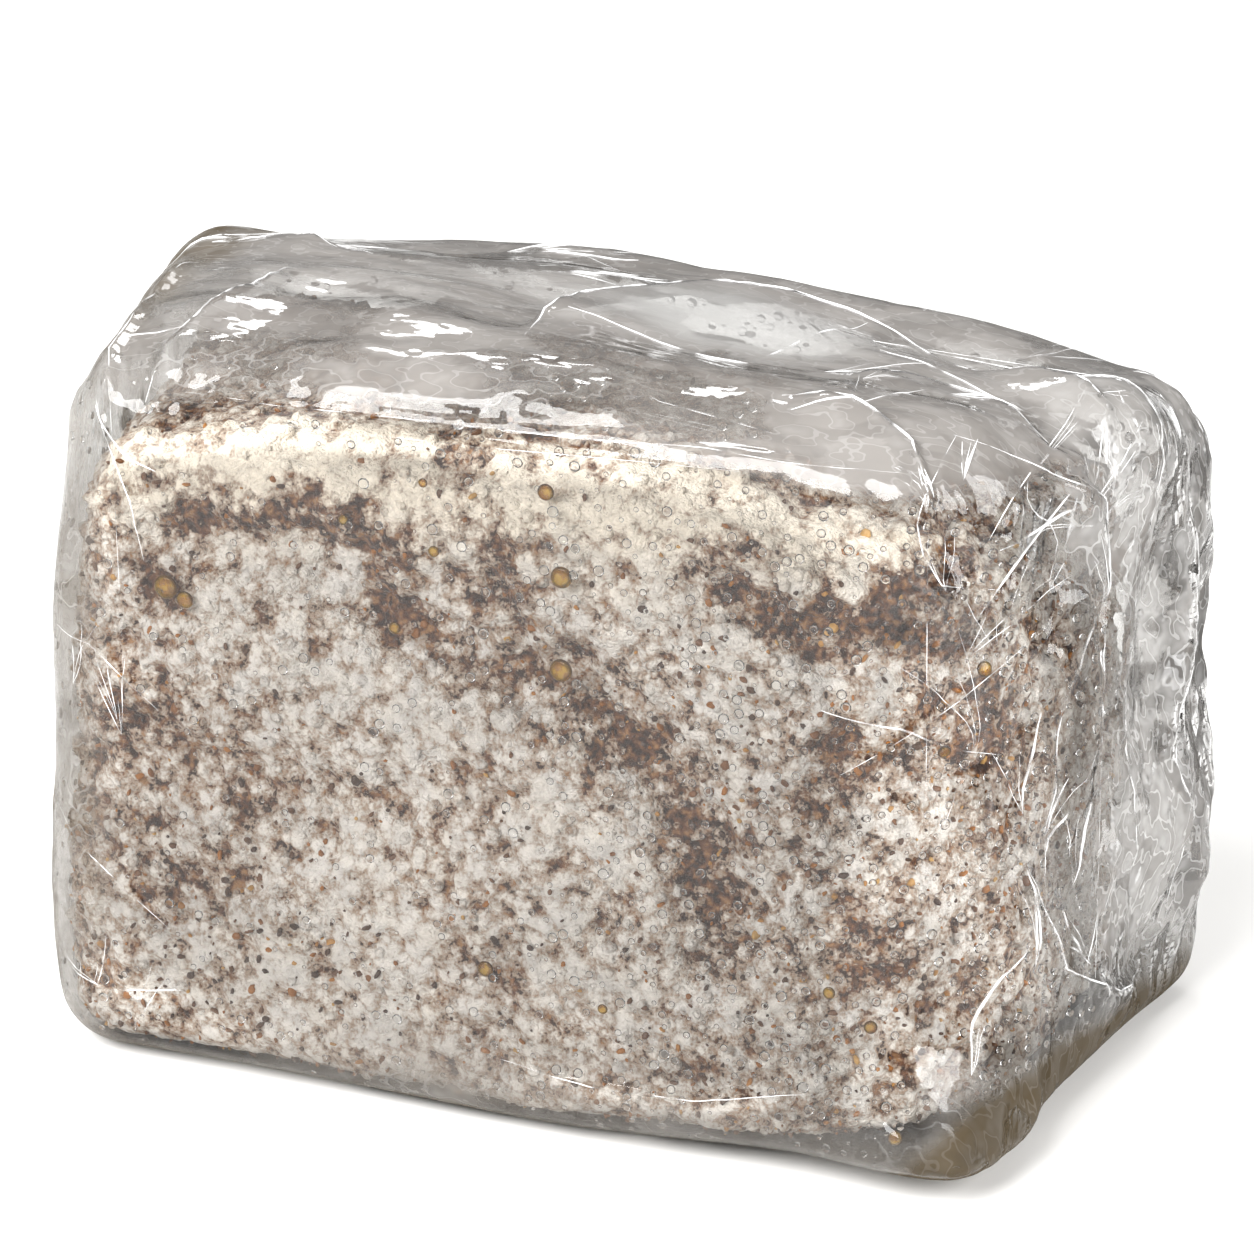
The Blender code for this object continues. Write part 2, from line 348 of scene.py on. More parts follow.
substrateFinish = {
    "coolWhite": "#DEDAD8",
    "creamWhite": "#F5EADA",
    "darkened": "#A6917F",
    "darkWood": "#30190D",
    "midWood": "#643E26",
    "paleWood": "#98704A",
    "woodStops": (0.4, 0.54, 0.7),  # of the noise, for the three woods
    "crumbSize": 2.6,  # mm
    "fibreSize": 0.7,
    "woodSize": 1.8,
    "wanderSize": 1.7,
    "wander": 1.5,
    # the crumbs and pits also paint the hollows browner, as painted shade
    "thinnessAndHollowShade": {"crumb": (0.5, 0.6), "fibre": (0.5, 0.7), "pit": (0.4, 0.5)},  # middle, weight
    "stainFrom": (0.03, 0.4),  # the thinness where it starts and where it is full
    "brownFrom": (0.36, 0.54),
    # painted shade: how dark the felt is painted between the crumbs
    "paintedHollowShade": 0.8,
    "roughness": 0.82,
    "bumpHeight": 0.9 * mm,
}


def myceliumMaterial(name, finish, brownShift=0.0):
    # oyster mushroom mycelium over beech sawdust: matt white felt with brown wood
    # showing through where the felt is thin, and painted shade in the hollows between the crumbs
    material, tree = newMaterial(name)
    place = addNode(tree, "ShaderNodeTexCoord").outputs["Object"]
    millimetres = addNode(
        tree, "ShaderNodeVectorMath", {0: place, "Scale": 1 / mm}, operation="SCALE",
    ).outputs[0]
    sources = {
        name: addNode(tree, "ShaderNodeAttribute", attribute_name=name).outputs["Fac"]
        for name in ("bareAndShade", "cream", "pit")
    }
    for name, size, seed in (("fibre", finish["fibreSize"], 23.0), ("wood", finish["woodSize"], 37.0)):
        moved = addNode(
            tree, "ShaderNodeVectorMath", {0: millimetres, 1: (seed, seed * 2, -seed)}, operation="ADD",
        ).outputs[0]
        sources[name] = addNode(tree, "ShaderNodeTexNoise", {
            "Vector": moved, "Scale": 1 / size, "Detail": 1.0, "Roughness": 0.6,
        }).outputs["Fac"]

    # rounded crumbs; the pits where they meet are browner, partly the wood showing through and partly painted
    # shade
    wander = addNode(tree, "ShaderNodeTexNoise", {
        "Vector": millimetres, "Scale": 1 / finish["wanderSize"], "Detail": 0.0,
    }).outputs["Color"]
    wandered = addNode(
        tree, "ShaderNodeVectorMath", {0: wander, 1: (finish["wander"],) * 3, 2: millimetres},
        operation="MULTIPLY_ADD",
    ).outputs[0]
    sources["crumb"] = addNode(tree, "ShaderNodeTexVoronoi", {
        "Vector": wandered, "Scale": 1 / finish["crumbSize"],
    }).outputs["Distance"]

    # how thin the felt is here, with painted shade of the hollows from the crumbs and pits: each source
    # varies about its own middle
    thin = addNode(tree, "ShaderNodeMath", {0: sources["bareAndShade"], 1: brownShift}, operation="ADD").outputs[0]
    for source, (middle, weight) in finish["thinnessAndHollowShade"].items():
        shifted = addNode(tree, "ShaderNodeMath", {0: sources[source], 1: middle}, operation="SUBTRACT")
        thin = addNode(
            tree, "ShaderNodeMath", {0: shifted.outputs[0], 1: weight, 2: thin}, operation="MULTIPLY_ADD",
        ).outputs[0]
    stain, brown = [
        addNode(
            tree, "ShaderNodeMapRange", {"Value": thin, "From Min": starts, "From Max": full},
            interpolation_type="SMOOTHSTEP",
        ).outputs[0]
        for starts, full in (finish["stainFrom"], finish["brownFrom"])
    ]

    wood = addNode(tree, "ShaderNodeValToRGB", {"Fac": sources["wood"]})
    woods = [linear(finish[name]) for name in ("darkWood", "midWood", "paleWood")]
    rampStops(wood, tuple(zip(finish["woodStops"], woods)))
    felt = addNode(
        tree, "ShaderNodeMix",
        {0: sources["cream"], 6: linear(finish["coolWhite"]), 7: linear(finish["creamWhite"])},
        data_type="RGBA", clamp_factor=True,
    ).outputs[2]
    # painted shade: darker between the crumbs, where shade falls
    paintedShade = addNode(tree, "ShaderNodeMapRange", {
        "Value": sources["crumb"], "From Min": 0.2, "From Max": 0.8,
        "To Min": 1.0, "To Max": finish["paintedHollowShade"],
    }).outputs[0]
    colour = addNode(tree, "ShaderNodeVectorMath", {0: felt, "Scale": paintedShade}, operation="SCALE").outputs[0]
    for share, under in ((stain, linear(finish["darkened"])), (brown, wood.outputs[0])):
        colour = addNode(
            tree, "ShaderNodeMix", {0: share, 6: colour, 7: under}, data_type="RGBA",
        ).outputs[2]

    bump = addNode(tree, "ShaderNodeBump", {
        "Height": sources["fibre"], "Distance": finish["bumpHeight"], "Strength": 0.9,
    }).outputs[0]
    shader = addNode(tree, "ShaderNodeBsdfPrincipled", {
        "Base Color": colour, "Roughness": finish["roughness"], "Normal": bump, "IOR": 1.4,
        "Sheen Weight": 0.15,
    })
    addNode(tree, "ShaderNodeOutputMaterial", {"Surface": shader.outputs[0]})
    return material


# the substrate block
substrate = {
    "cells": (200, 46, 140),
    "grainSize": 5.2 * mm,
    "grainHeight": 2.0 * mm,
    "grainPower": 1.5,
    "crumbSize": 2.5 * mm,
    "crumbHeight": 1.1 * mm,
    "roughSize": 3.1 * mm,
    "roughHeight": 0.3 * mm,
    "knollSize": 9 * mm,
    "knollHeight": 1.6 * mm,
    "meanDepth": 1.1 * mm,  # of grain and crumbs, so that they lie about the block's own surface
    "pitDepth": 2.0 * mm,
    "pitStarts": 0.2,
    "smoothFoot": 8 * mm,
    "driftSize": 17 * mm,  # thicker and thinner felt
    "patchSize": 6 * mm,
    "raggedSize": 6 * mm,  # of the edges of the strokes
    "ragged": 0.7,
}
darkBands = (  # across and up the front in mm, half width, how bare
    (((-66, 113), (-56, 117), (-39, 122), (-23, 115)), 4.5, 0.95),
    (((-13, 133), (-9, 130)), 4.0, 0.9),
    (((-28, 108), (-22, 99), (-16, 96)), 4.5, 0.9),
    (((-4, 117), (6, 102)), 4.0, 0.75),
    (((37, 119), (45, 123)), 4.0, 0.8),
    (((43, 114), (56, 109), (67, 110), (80, 116), (85, 119)), 5.0, 1.0),
    (((67, 110), (75, 106), (82, 105)), 4.0, 0.9),
    (((103, 133), (108, 125), (113, 116)), 5.0, 0.9),
    # painted shade along the big diagonal furrow, over barer felt
    (((-18, 99), (10, 91), (29, 76), (37, 55), (41, 43)), 5.5, 0.68),
    (((-72, 104), (-68, 101)), 4.0, 0.9),
    (((-83, 74), (-64, 69), (-52, 62)), 9.0, 0.36),
    (((-89, 46), (-65, 39)), 9.0, 0.3),
    (((68, 83), (84, 88), (99, 84), (103, 69)), 11.0, 0.42),
    (((70, 48), (76, 40)), 7.0, 0.4),
    (((27, 76), (35, 75)), 6.0, 0.5),
    (((-9, 35), (-3, 32)), 3.5, 0.85),
)
paintedLitRidges = (  # the same, painted lighter: painted light along the ridges that catch it
    (((-36, 87), (-16, 84), (2, 78), (17, 66), (33, 54), (37, 42)), 6.5, 1.0),
    (((25, 109), (45, 106), (65, 99), (75, 88)), 6.0, 0.9),
    (((-69, 99), (-52, 95), (-38, 87)), 5.0, 0.8),
    (((-27, 41), (-9, 33), (9, 29)), 8.0, 0.8),
    (((9, 38), (29, 33), (49, 32)), 8.0, 0.7),
    (((10, 85), (21, 73), (25, 61)), 5.0, 0.9),
)
creamBand = (
    (((-80, 129), (-20, 133), (40, 134), (92, 130)), 15.0, 1.0),
)
viewSlant = 0.245  # sideways for each step back: the strokes run round the corner as they are seen
feltEdges = {  # start and width, negative where it falls, in mm
    "smoothAcross": (20, -60),
    "smoothUp": (74, -40),
    "coarseAcross": (5, 50),
    "coarseUp": (124, -15),
    "left": (-72, -14),
    "offFloor": (4, 10),
    "top": (-0.84, 0.14),  # these two in shares of the block
    "right": (0.5, 0.4),
}
bareAndShadeFrom = {  # how much each part adds; "all" is everywhere
    "all": 0.19, "bands": 0.44, "coarse": 0.04, "smooth": -0.03, "cream": -0.2, "ridges": -0.14, "left": 0.1,
}
bareSidesShadedTop = {"sides": 0.2, "top": 0.3}
driftsBy = {"all": 0.12, "bands": 0.16}
patchesBy = {"all": 0.13, "bands": 0.1}
creamFrom = {"cream": 1.0, "all": 0.35, "patch": 0.2}
crumbsLess = {"bands": 0.25, "smooth": 0.5}
grainsFrom = {"all": 0.14, "coarse": 0.55, "bands": 0.5, "smooth": 0.3}
grainsLess = {"cream": 0.6, "ridges": 0.4}


def strokeAmount(x, z, strokes, ragged):
    amount = 0.0
    for path, halfWidth, strength in strokes:
        distance = distanceToPath(x, z, path) / (halfWidth * ragged)
        if distance < 3:
            amount = max(amount, strength * math.exp(-distance * distance))
    return amount


def paintFront(item, points):
    # how thin the felt is, with painted shade and light, how creamy, and where crumbs and grains lie
    shares = {"bareAndShade": [], "cream": [], "frontShare": [], "sidesShare": [], "grainShare": []}
    for vert, point in zip(item.data.vertices, points):
        x = (vert.co.x + viewSlant * (vert.co.y + bag["halfDepth"])) / mm
        z = vert.co.z / mm
        front = ease(1 - (1 + point.y) / (1.7 if point.x > 0.9 else 0.5))
        ragged = 1 + substrate["ragged"] * noise.noise(vert.co / substrate["raggedSize"])
        patch = noise.fractal(vert.co / substrate["patchSize"], 0.8, 2.0, 2)
        here = {
            "all": 1.0,
            "bands": strokeAmount(x, z, darkBands, ragged),
            "ridges": strokeAmount(x, z, paintedLitRidges, ragged),
            "cream": front * strokeAmount(x, z, creamBand, 1.0),
            "smooth": past(x, feltEdges["smoothAcross"]) * past(z, feltEdges["smoothUp"]),
            "coarse": past(x, feltEdges["coarseAcross"]) * past(z, feltEdges["coarseUp"]),
            "left": past(x, feltEdges["left"]),
            "patch": patch,
        }
        # the top behind the front edge is painted browner: painted shade of the top under the film
        lid = past(point.y, feltEdges["top"]) if point.z > 0.99 else 0.0
        bareAndShade = weighed(bareAndShadeFrom, here) * front + bareSidesShadedTop["sides"] * (1 - front)
        thin = weighed(driftsBy, here) * noise.noise(vert.co / substrate["driftSize"])
        thin += weighed(patchesBy, here) * patch
        shares["bareAndShade"].append(bareAndShade * (1 - lid) + bareSidesShadedTop["top"] * lid + thin)
        shares["cream"].append(weighed(creamFrom, here))
        offFloor = past(z, feltEdges["offFloor"])
        facing = 1.0 if point.y < -0.96 else past(point.x, feltEdges["right"]) * ease(-point.y)
        crowd = thinned(1.0, crumbsLess, here) * (0.5 + 0.5 * offFloor)
        shares["frontShare"].append(facing * crowd)
        shares["sidesShare"].append((0.0 if facing > 0.5 else 1.0) * offFloor)
        grainy = weighed(grainsFrom, here) * (0.3 + 0.7 * front)
        shares["grainShare"].append(thinned(grainy, grainsLess, here))
    for name, values in shares.items():
        setAttribute(item, name, values)


def buildSubstrate():
    points, quads = boxGrid(substrate["cells"])
    item = addMesh("substrate", [blockPlace(point) for point in points], quads)
    normals = vertexNormals(item)
    pit = []
    for vert, normal in zip(item.data.vertices, normals):
        place = vert.co
        grain = noise.voronoi(place / substrate["grainSize"])[0][0]
        crumb = noise.voronoi(place / substrate["crumbSize"] + knobPlace)[0][0]
        rough = noise.fractal(place / substrate["roughSize"], 0.8, 2.0, 3)
        knoll = noise.noise(place / substrate["knollSize"] + knobPlace)
        depth = substrate["grainHeight"] * min(grain, 0.9) ** substrate["grainPower"]
        depth += substrate["crumbHeight"] * min(crumb, 0.9) + substrate["roughHeight"] * rough
        # pit: how deep the place lies; the material paints it browner, partly as painted shade
        pit.append(min(max(depth / substrate["pitDepth"] - substrate["pitStarts"], 0.0), 1.0))
        depth -= substrate["knollHeight"] * knoll
        clearOfFloor = ease(place.z / substrate["smoothFoot"])
        vert.co = place - normal * (depth - substrate["meanDepth"]) * clearOfFloor
    item.data.update()
    setAttribute(item, "pit", pit)
    paintFront(item, points)
    item.data.materials.append(myceliumMaterial("mycelium over sawdust", substrateFinish))
    return item


# small pieces scattered over a surface

def lump(name, roughness, stretch, seed):
    bm = bmesh.new()
    bmesh.ops.create_cube(bm, size=2.0)
    bmesh.ops.subdivide_edges(bm, edges=bm.edges[:], cuts=1, use_grid_fill=True)
    for vert in bm.verts:
        vert.co.normalize()
        vert.co *= 1 + roughness * noise.noise(vert.co * 1.7 + Vector((seed, 0, 0)))
        vert.co += noise.noise_vector(vert.co * 1.3 + Vector((0, seed, 0))) * roughness * 0.6
        vert.co = Vector([vert.co[i] * stretch[i] for i in range(3)])
    mesh = bpy.data.meshes.new(name)
    bm.to_mesh(mesh)
    bm.free()
    mesh.shade_smooth()
    return bpy.data.objects.new(name, mesh)


def roundBody(sides, rings):  # a closed body from rings of radius and height, top to bottom
    points = []
    faces = [tuple(range(sides))]
    for radius, height in rings:
        for step in range(sides):
            angle = 2 * math.pi * step / sides
            points.append(Vector((radius * math.cos(angle), radius * math.sin(angle), height)))
    for ring in range(len(rings) - 1):
        for step in range(sides):
            a = ring * sides + step
            b = ring * sides + (step + 1) % sides
            faces.append((a, a + sides, b + sides, b))
    last = (len(rings) - 1) * sides
    faces.append(tuple(reversed(range(last, last + sides))))
    return points, faces


def geometryTree(name, inputs):
    tree = bpy.data.node_groups.new(name, "GeometryNodeTree")
    for kind, labels in inputs.items():
        for label in labels:
            tree.interface.new_socket(label, in_out="INPUT", socket_type="NodeSocket" + kind)
    tree.interface.new_socket("Pieces", in_out="OUTPUT", socket_type="NodeSocketGeometry")
    return tree, addNode(tree, "NodeGroupInput").outputs


def closeTree(tree, geometry, material):  # ends a tree in plain mesh with its material
    solid = addNode(tree, "GeometryNodeRealizeInstances", {0: geometry}).outputs[0]
    finished = addNode(tree, "GeometryNodeSetMaterial", {"Geometry": solid, "Material": material})
    addNode(tree, "NodeGroupOutput", {0: finished.outputs[0]})
    return tree


def madeByNodes(name, item, tree, values):  # what the tree makes of an item, as an object of its own
    modifier = item.modifiers.new(name, "NODES")
    modifier.node_group = tree
    for socket in tree.interface.items_tree:
        if socket.in_out == "INPUT" and socket.name in values:
            modifier[socket.identifier] = values[socket.name]
    made = item.evaluated_get(bpy.context.evaluated_depsgraph_get())
    mesh = bpy.data.meshes.new_from_object(made)
    item.modifiers.remove(modifier)
    return addObject(name, mesh)


def scatterTree(name, share, shapes, material):
    tree, given = geometryTree(name, {
        "Geometry": ("Surface",),
        "Float": ("Spacing", "Density", "Smallest", "Largest", "Sunk", "Tilt"),
        "Int": ("Seed",),
    })
    density = addNode(tree, "GeometryNodeInputNamedAttribute", {"Name": share}, data_type="FLOAT").outputs[0]
    points = addNode(tree, "GeometryNodeDistributePointsOnFaces", {
        "Mesh": given["Surface"], "Distance Min": given["Spacing"], "Density Max": given["Density"],
        "Density Factor": density, "Seed": given["Seed"],
    }, distribute_method="POISSON").outputs
    sunk = addNode(
        tree, "ShaderNodeVectorMath", {0: points["Normal"], "Scale": given["Sunk"]}, operation="SCALE",
    ).outputs[0]
    lowered = addNode(tree, "GeometryNodeSetPosition", {
        "Geometry": points["Points"], "Offset": sunk,
    }).outputs[0]
    tilt = given["Tilt"]
    backTilt = addNode(tree, "ShaderNodeMath", {0: tilt, 1: -1.0}, operation="MULTIPLY").outputs[0]
    least = addNode(tree, "ShaderNodeCombineXYZ", {"X": backTilt, "Y": backTilt, "Z": 0.0}).outputs[0]
    most = addNode(tree, "ShaderNodeCombineXYZ", {"X": tilt, "Y": tilt, "Z": 2 * math.pi}).outputs[0]
    turn = addNode(
        tree, "FunctionNodeRandomValue", {0: least, 1: most, "Seed": 5}, data_type="FLOAT_VECTOR",
    ).outputs[0]
    spun = addNode(tree, "FunctionNodeRotateRotation", {
        "Rotation": points["Rotation"],
        "Rotate By": addNode(tree, "FunctionNodeEulerToRotation", {0: turn}).outputs[0],
    }, rotation_space="LOCAL").outputs[0]
    chance, tone = [
        addNode(tree, "FunctionNodeRandomValue", {2: 0.0, 3: 1.0, "Seed": seed}, data_type="FLOAT").outputs[1]
        for seed in (9, 21)
    ]
    small = addNode(tree, "ShaderNodeMath", {0: chance, 1: 1.8}, operation="POWER").outputs[0]
    size = addNode(tree, "ShaderNodeMapRange", {
        "Value": small, "To Min": given["Smallest"], "To Max": given["Largest"],
    }).outputs[0]
    joined = addNode(tree, "GeometryNodeJoinGeometry")
    for shape in shapes:
        info = addNode(tree, "GeometryNodeObjectInfo", {"Object": shape, "As Instance": True})
        tree.links.new(info.outputs["Geometry"], joined.inputs[0])
    pick = addNode(
        tree, "FunctionNodeRandomValue", {4: 0, 5: len(shapes) - 1, "Seed": 3}, data_type="INT",
    ).outputs[2]
    placed = addNode(tree, "GeometryNodeInstanceOnPoints", {
        "Points": lowered, "Instance": joined.outputs[0], "Pick Instance": True,
        "Instance Index": pick, "Rotation": spun, "Scale": size,
    }).outputs[0]
    toned = addNode(tree, "GeometryNodeStoreNamedAttribute", {
        "Geometry": placed, "Name": "tone", "Value": tone,
    }, data_type="FLOAT", domain="INSTANCE").outputs[0]
    return closeTree(tree, toned, material)


def scatterOn(surface, name, share, shapes, material, values):
    tree = scatterTree(name + " scatter", share, shapes, material)
    item = madeByNodes(name, surface, tree, values)
    for shape in shapes:
        bpy.data.objects.remove(shape)
    print(name, len(item.data.polygons), "faces")
    return item


crumbs = {
    "front": {
        "Spacing": 2.3 * mm, "Density": 2.0e5, "Smallest": 0.6 * mm, "Largest": 1.6 * mm,
        "Sunk": -0.35 * mm, "Tilt": 3.1, "Seed": 4,
    },
    "sides": {
        "Spacing": 4.2 * mm, "Density": 6.0e4, "Smallest": 1.2 * mm, "Largest": 2.9 * mm,
        "Sunk": -0.7 * mm, "Tilt": 3.1, "Seed": 5,
    },
}
grains = {
    "Spacing": 1.8 * mm, "Density": 2.6e5, "Smallest": 0.4 * mm, "Largest": 1.15 * mm,
    "Sunk": 0.15 * mm, "Tilt": 3.1, "Seed": 6,
}
grainFinish = {
    "dark": "#432C1E",
    "brown": "#704828",
    "amber": "#A8691F",
    "pale": "#C09858",
    "stops": {"dark": 0.15, "brown": 0.55, "amber": 0.85, "pale": 1.0},
    "grainSize": 0.5 * mm,
    "grainDepth": 0.1 * mm,
    "roughness": 0.42,
}


def grainMaterial(name, finish):
    # beech and oak sawdust, soaked and browned in the steriliser: a dull satin
    material, tree = newMaterial(name)
    tone = addNode(tree, "ShaderNodeAttribute", attribute_name="tone").outputs["Fac"]
    colour = addNode(tree, "ShaderNodeValToRGB", {"Fac": tone})
    rampStops(colour, [(stop, linear(finish[wood])) for wood, stop in finish["stops"].items()])
    place = addNode(tree, "ShaderNodeTexCoord").outputs["Object"]
    grain = addNode(tree, "ShaderNodeTexNoise", {
        "Vector": place, "Scale": 1 / finish["grainSize"], "Detail": 2.0,
    }).outputs["Fac"]
    bump = addNode(tree, "ShaderNodeBump", {
        "Height": grain, "Distance": finish["grainDepth"], "Strength": 0.6,
    }).outputs[0]
    shader = addNode(tree, "ShaderNodeBsdfPrincipled", {
        "Base Color": colour.outputs[0], "Roughness": finish["roughness"], "Normal": bump, "IOR": 1.45,
    })
    addNode(tree, "ShaderNodeOutputMaterial", {"Surface": shader.outputs[0]})
    return material


def buildCrumbs(surface):
    made = []
    for side in ("front", "sides"):
        shapes = [lump(f"crumb {n}", 0.5, (1.0, 0.9, 0.75), 3.7 * n) for n in range(4)]
        felt = myceliumMaterial(f"mycelium felt {side}", substrateFinish, brownShift=-0.05)
        name = f"mycelium_crumbs_{side}"
        made.append(scatterOn(surface, name, f"{side}Share", shapes, felt, crumbs[side]))
    shapes = [lump(f"grain {n}", 0.6, (1.0, 0.6 + 0.1 * n, 0.5), 5.1 * n) for n in range(4)]
    wood = grainMaterial("wet sawdust", grainFinish)
    made.append(scatterOn(surface, "wood_grains", "grainShare", shapes, wood, grains))
    return made


# the film

film = {
    "cells": (82, 46, 58),
    "facets": (21, 28, 36, 17, 44, 24),  # sizes in mm
    "facetHeight": 0.04,  # for each mm of size
    "creasing": (8.0, 6.0, 11.0),  # the same, drawn out down the end
    "creasingHeight": 0.09,
    "creasingUpright": 0.35,
    "warpSize": 45 * mm,
    "warp": 9 * mm,
    "seed": 12,
    "streakSize": (17 * mm, 5 * mm, 8 * mm),
    "streakHeight": 0.9 * mm,
    "tightCrumple": 0.12,  # share of the facets where the film is tight
    "flats": ((19.0, 0.8), (7.0, 0.6)),  # size in mm, tilt
    "flatStretch": (0.45, 1.0, 0.6),
    "flatWander": 6,  # mm
    "flatWanderSize": 20 * mm,
    "flatSpread": 9.7,  # sets neighbouring flats apart in the noise
    "driftSize": 26 * mm,
}
looseShares = {"top": 1.0, "right": 1.0, "left": 0.25, "back": 0.5}
reliefLess = {"level": 0.65, "flat": 0.6}
hazeFrom = {
    "all": 0.02, "top": 0.96, "right": 0.66, "left": 0.5, "back": 0.22, "rim": 0.8,
}
hazyFoot = {"share": 0.6, "height": 26}  # mm
hazyRight = {"starts": 106, "spreads": 12, "width": 14, "thinsLow": 0.3}  # mm across
# the film is darker and olive towards its foot, its left end and the bottom right corner
oliveFrom = {"olive": 1.0, "left": 0.65, "foot": 0.6}
oliveRim = 0.92
oliveHaze = 0.86
paleRight = 0.2
slackFrom = {"all": 0.06, "corner": 0.6, "left": 0.5, "back": 0.5, "foot": 0.4}
slackLess = {"top": 0.75, "olive": 0.85}
dropsLess = {"top": 0.7, "back": 0.5, "left": 0.5}
filmEdges = {  # start and width, negative where it falls; these in shares of the bag
    "looseTop": (0.72, 0.28),
    "looseRight": (0.6, 0.4),
    "looseLeft": (-0.8, -0.2),
    "looseBack": (0.3, 0.7),
    "offFloor": (-0.97, 0.2),
    "tight": (-1, 0.25),
    "level": (0.9, 0.1),
    "creasing": (0.8, 0.2),
    "flatEnd": (0.6, 0.2),
    "foldFacing": (0.3, 0.4),  # these by the normal
    "top": (0.25, 0.5),
    "back": (0.4, 0.4),
    "flatAcross": (116, -10),  # the rest in mm
    "flatHigh": (112, -20),
    "flatLow": (18, 10),
    "right": (80, 12),
    "rightSpreads": (100, 20),
    "rightLow": (34, -20),
    "left": (-80, -10),
    "leftRim": (-94, -6),
    "floorRim": (8, -6),
    "foot": (-75, 40),
    "corner": (58, 25),
    "topRim": (128, 8),
    "wet": (-20, 60),
    "drops": (0, 16),
}
filmFinish = {
    "tint": "#FCFCFB",
    "haze": "#928E8A",
    "pale": "#B4B3B1",
    "whitened": "#F4F4F3",
    "olive": "#5C5140",
    "curlSize": 3.0,  # mm, the small curls where the film clings and lifts
    "curlStretch": (0.5, 1.0, 0.5),  # drawn out along the top and down the ends
    "curlWidth": 0.018,
    "curlHeight": 1.3 * mm,
    # how white the curls and lifted places are painted, partly as painted highlights
    "curlWhite": 0.4,
    "liftedWhite": 0.35,
    "oliveDulls": 0.8,
    "roughness": 0.05,
    "ior": 1.49,
}
clearWindows = (  # middle and reach in mm of the clear places in the hazy top
    ((-58, -44), (20, 10)),
    ((6, -47), (15, 12)),
)
brightFacet = ((22, 5), (26, 15))  # the same, for the flat place that mirrors the light; its haze is painted paler there, a painted highlight
oliveFoot = {  # mm, where the right-hand end is darker and olive towards its foot
    "height": 24,
    "falls": 0.13,  # for each mm back
    "front": 54,  # its front edge, before the middle
    "starts": 62,
    "grows": 36,
    "ends": 10,
    "softens": 8,
}
filmFolds = (  # name, side, path in mm, height, gentle side's width, steep side's width
    ("long facet", "top", (
        (-6, -28), (-8, -12), (-6, 0), (12, 21), (30, 26), (50, 25), (66, 20),
    ), 4.2, 25.0, 3.0),
    ("front fold", "top", ((46, -34), (58, -32), (71, -38), (80, -50)), 2.4, 10.0, 2.0),
    ("left fold", "top", ((-74, -52), (-72, -37), (-67, -15), (-65, 4)), 2.4, 13.0, 2.0),
    ("left edge fold", "top", ((-90, 10), (-89, -9), (-85, -41), (-76, -60)), 1.8, 6.0, 1.6),
    ("back left fold", "top", ((-104, 24), (-92, 30), (-76, 30), (-66, 24)), 1.8, 8.0, 1.6),
    ("right streak", "top", ((50, -14), (61, -8), (76, -8), (90, -12)), 1.8, 9.0, 1.8),
    ("ear fold", "top", ((70, 20), (84, 10), (97, 4), (106, -16)), 2.2, 9.0, 1.8),
    ("ear hollow", "top", ((97, 4), (98, -14), (106, -30)), 2.0, 7.0, 1.8),
    ("front edge crease", "front", ((-66, 141), (-35, 142), (10, 142), (37, 142), (76, 140)), 1.2, 5.0, 1.2),
    ("front edge second crease", "front", ((-50, 138), (-17, 138.5), (10, 139), (44, 139)), 0.8, 4.0, 1.0),
    ("tall white crease", "front", (
        (78, 150), (78, 144), (76, 132), (77, 126), (80, 120), (88, 115),
    ), 1.7, 7.0, 1.2),
    ("first vee", "front", ((90, 134), (92, 127), (94, 120), (93, 112)), 1.3, 5.0, 1.2),
    ("second vee", "front", ((106, 144), (101, 130), (97, 120), (93, 111)), 1.3, 6.0, 1.2),
    ("steep diagonal", "front", ((86, 126), (90, 135), (94, 145), (98, 154)), 1.3, 6.0, 1.2),
    ("straight band", "front", ((64, 84), (79, 94), (94, 105)), 1.0, 8.0, 1.2),
    ("lower left ledge", "front", ((-97, 22), (-86, 17), (-70, 19)), 1.4, 6.0, 1.2),
    ("bottom fold", "front", ((-2, 17), (17, 15), (37, 15.5), (59, 20)), 1.4, 7.0, 1.1),
    ("left crease", "front", ((-95, 91), (-86, 90), (-80, 85), (-72, 78)), 1.0, 6.0, 1.2),
    ("lower left crease", "front", ((-96, 53), (-86, 44), (-72, 32)), 1.0, 6.0, 1.2),
    ("left vee", "front", ((-84, 138), (-80, 130), (-76, 120), (-74, 108)), 1.2, 5.0, 1.2),
    ("end fold high", "end", ((-31, 143), (-8, 124), (-12, 108), (-20, 84), (-22, 52)), 2.8, 11.0, 2.0),
    ("end fold middle", "end", ((10, 132), (14, 106), (4, 78), (10, 44)), 2.8, 12.0, 2.0),
    ("end fold back", "end", ((34, 120), (36, 92), (26, 60), (30, 24)), 2.6, 12.0, 2.0),
    ("end fold low", "end", ((-30, 60), (-18, 34), (4, 20), (30, 14)), 2.2, 9.0, 1.6),
)


foldAxes = {"top": (0, 1), "front": (0, 2), "end": (1, 2)}


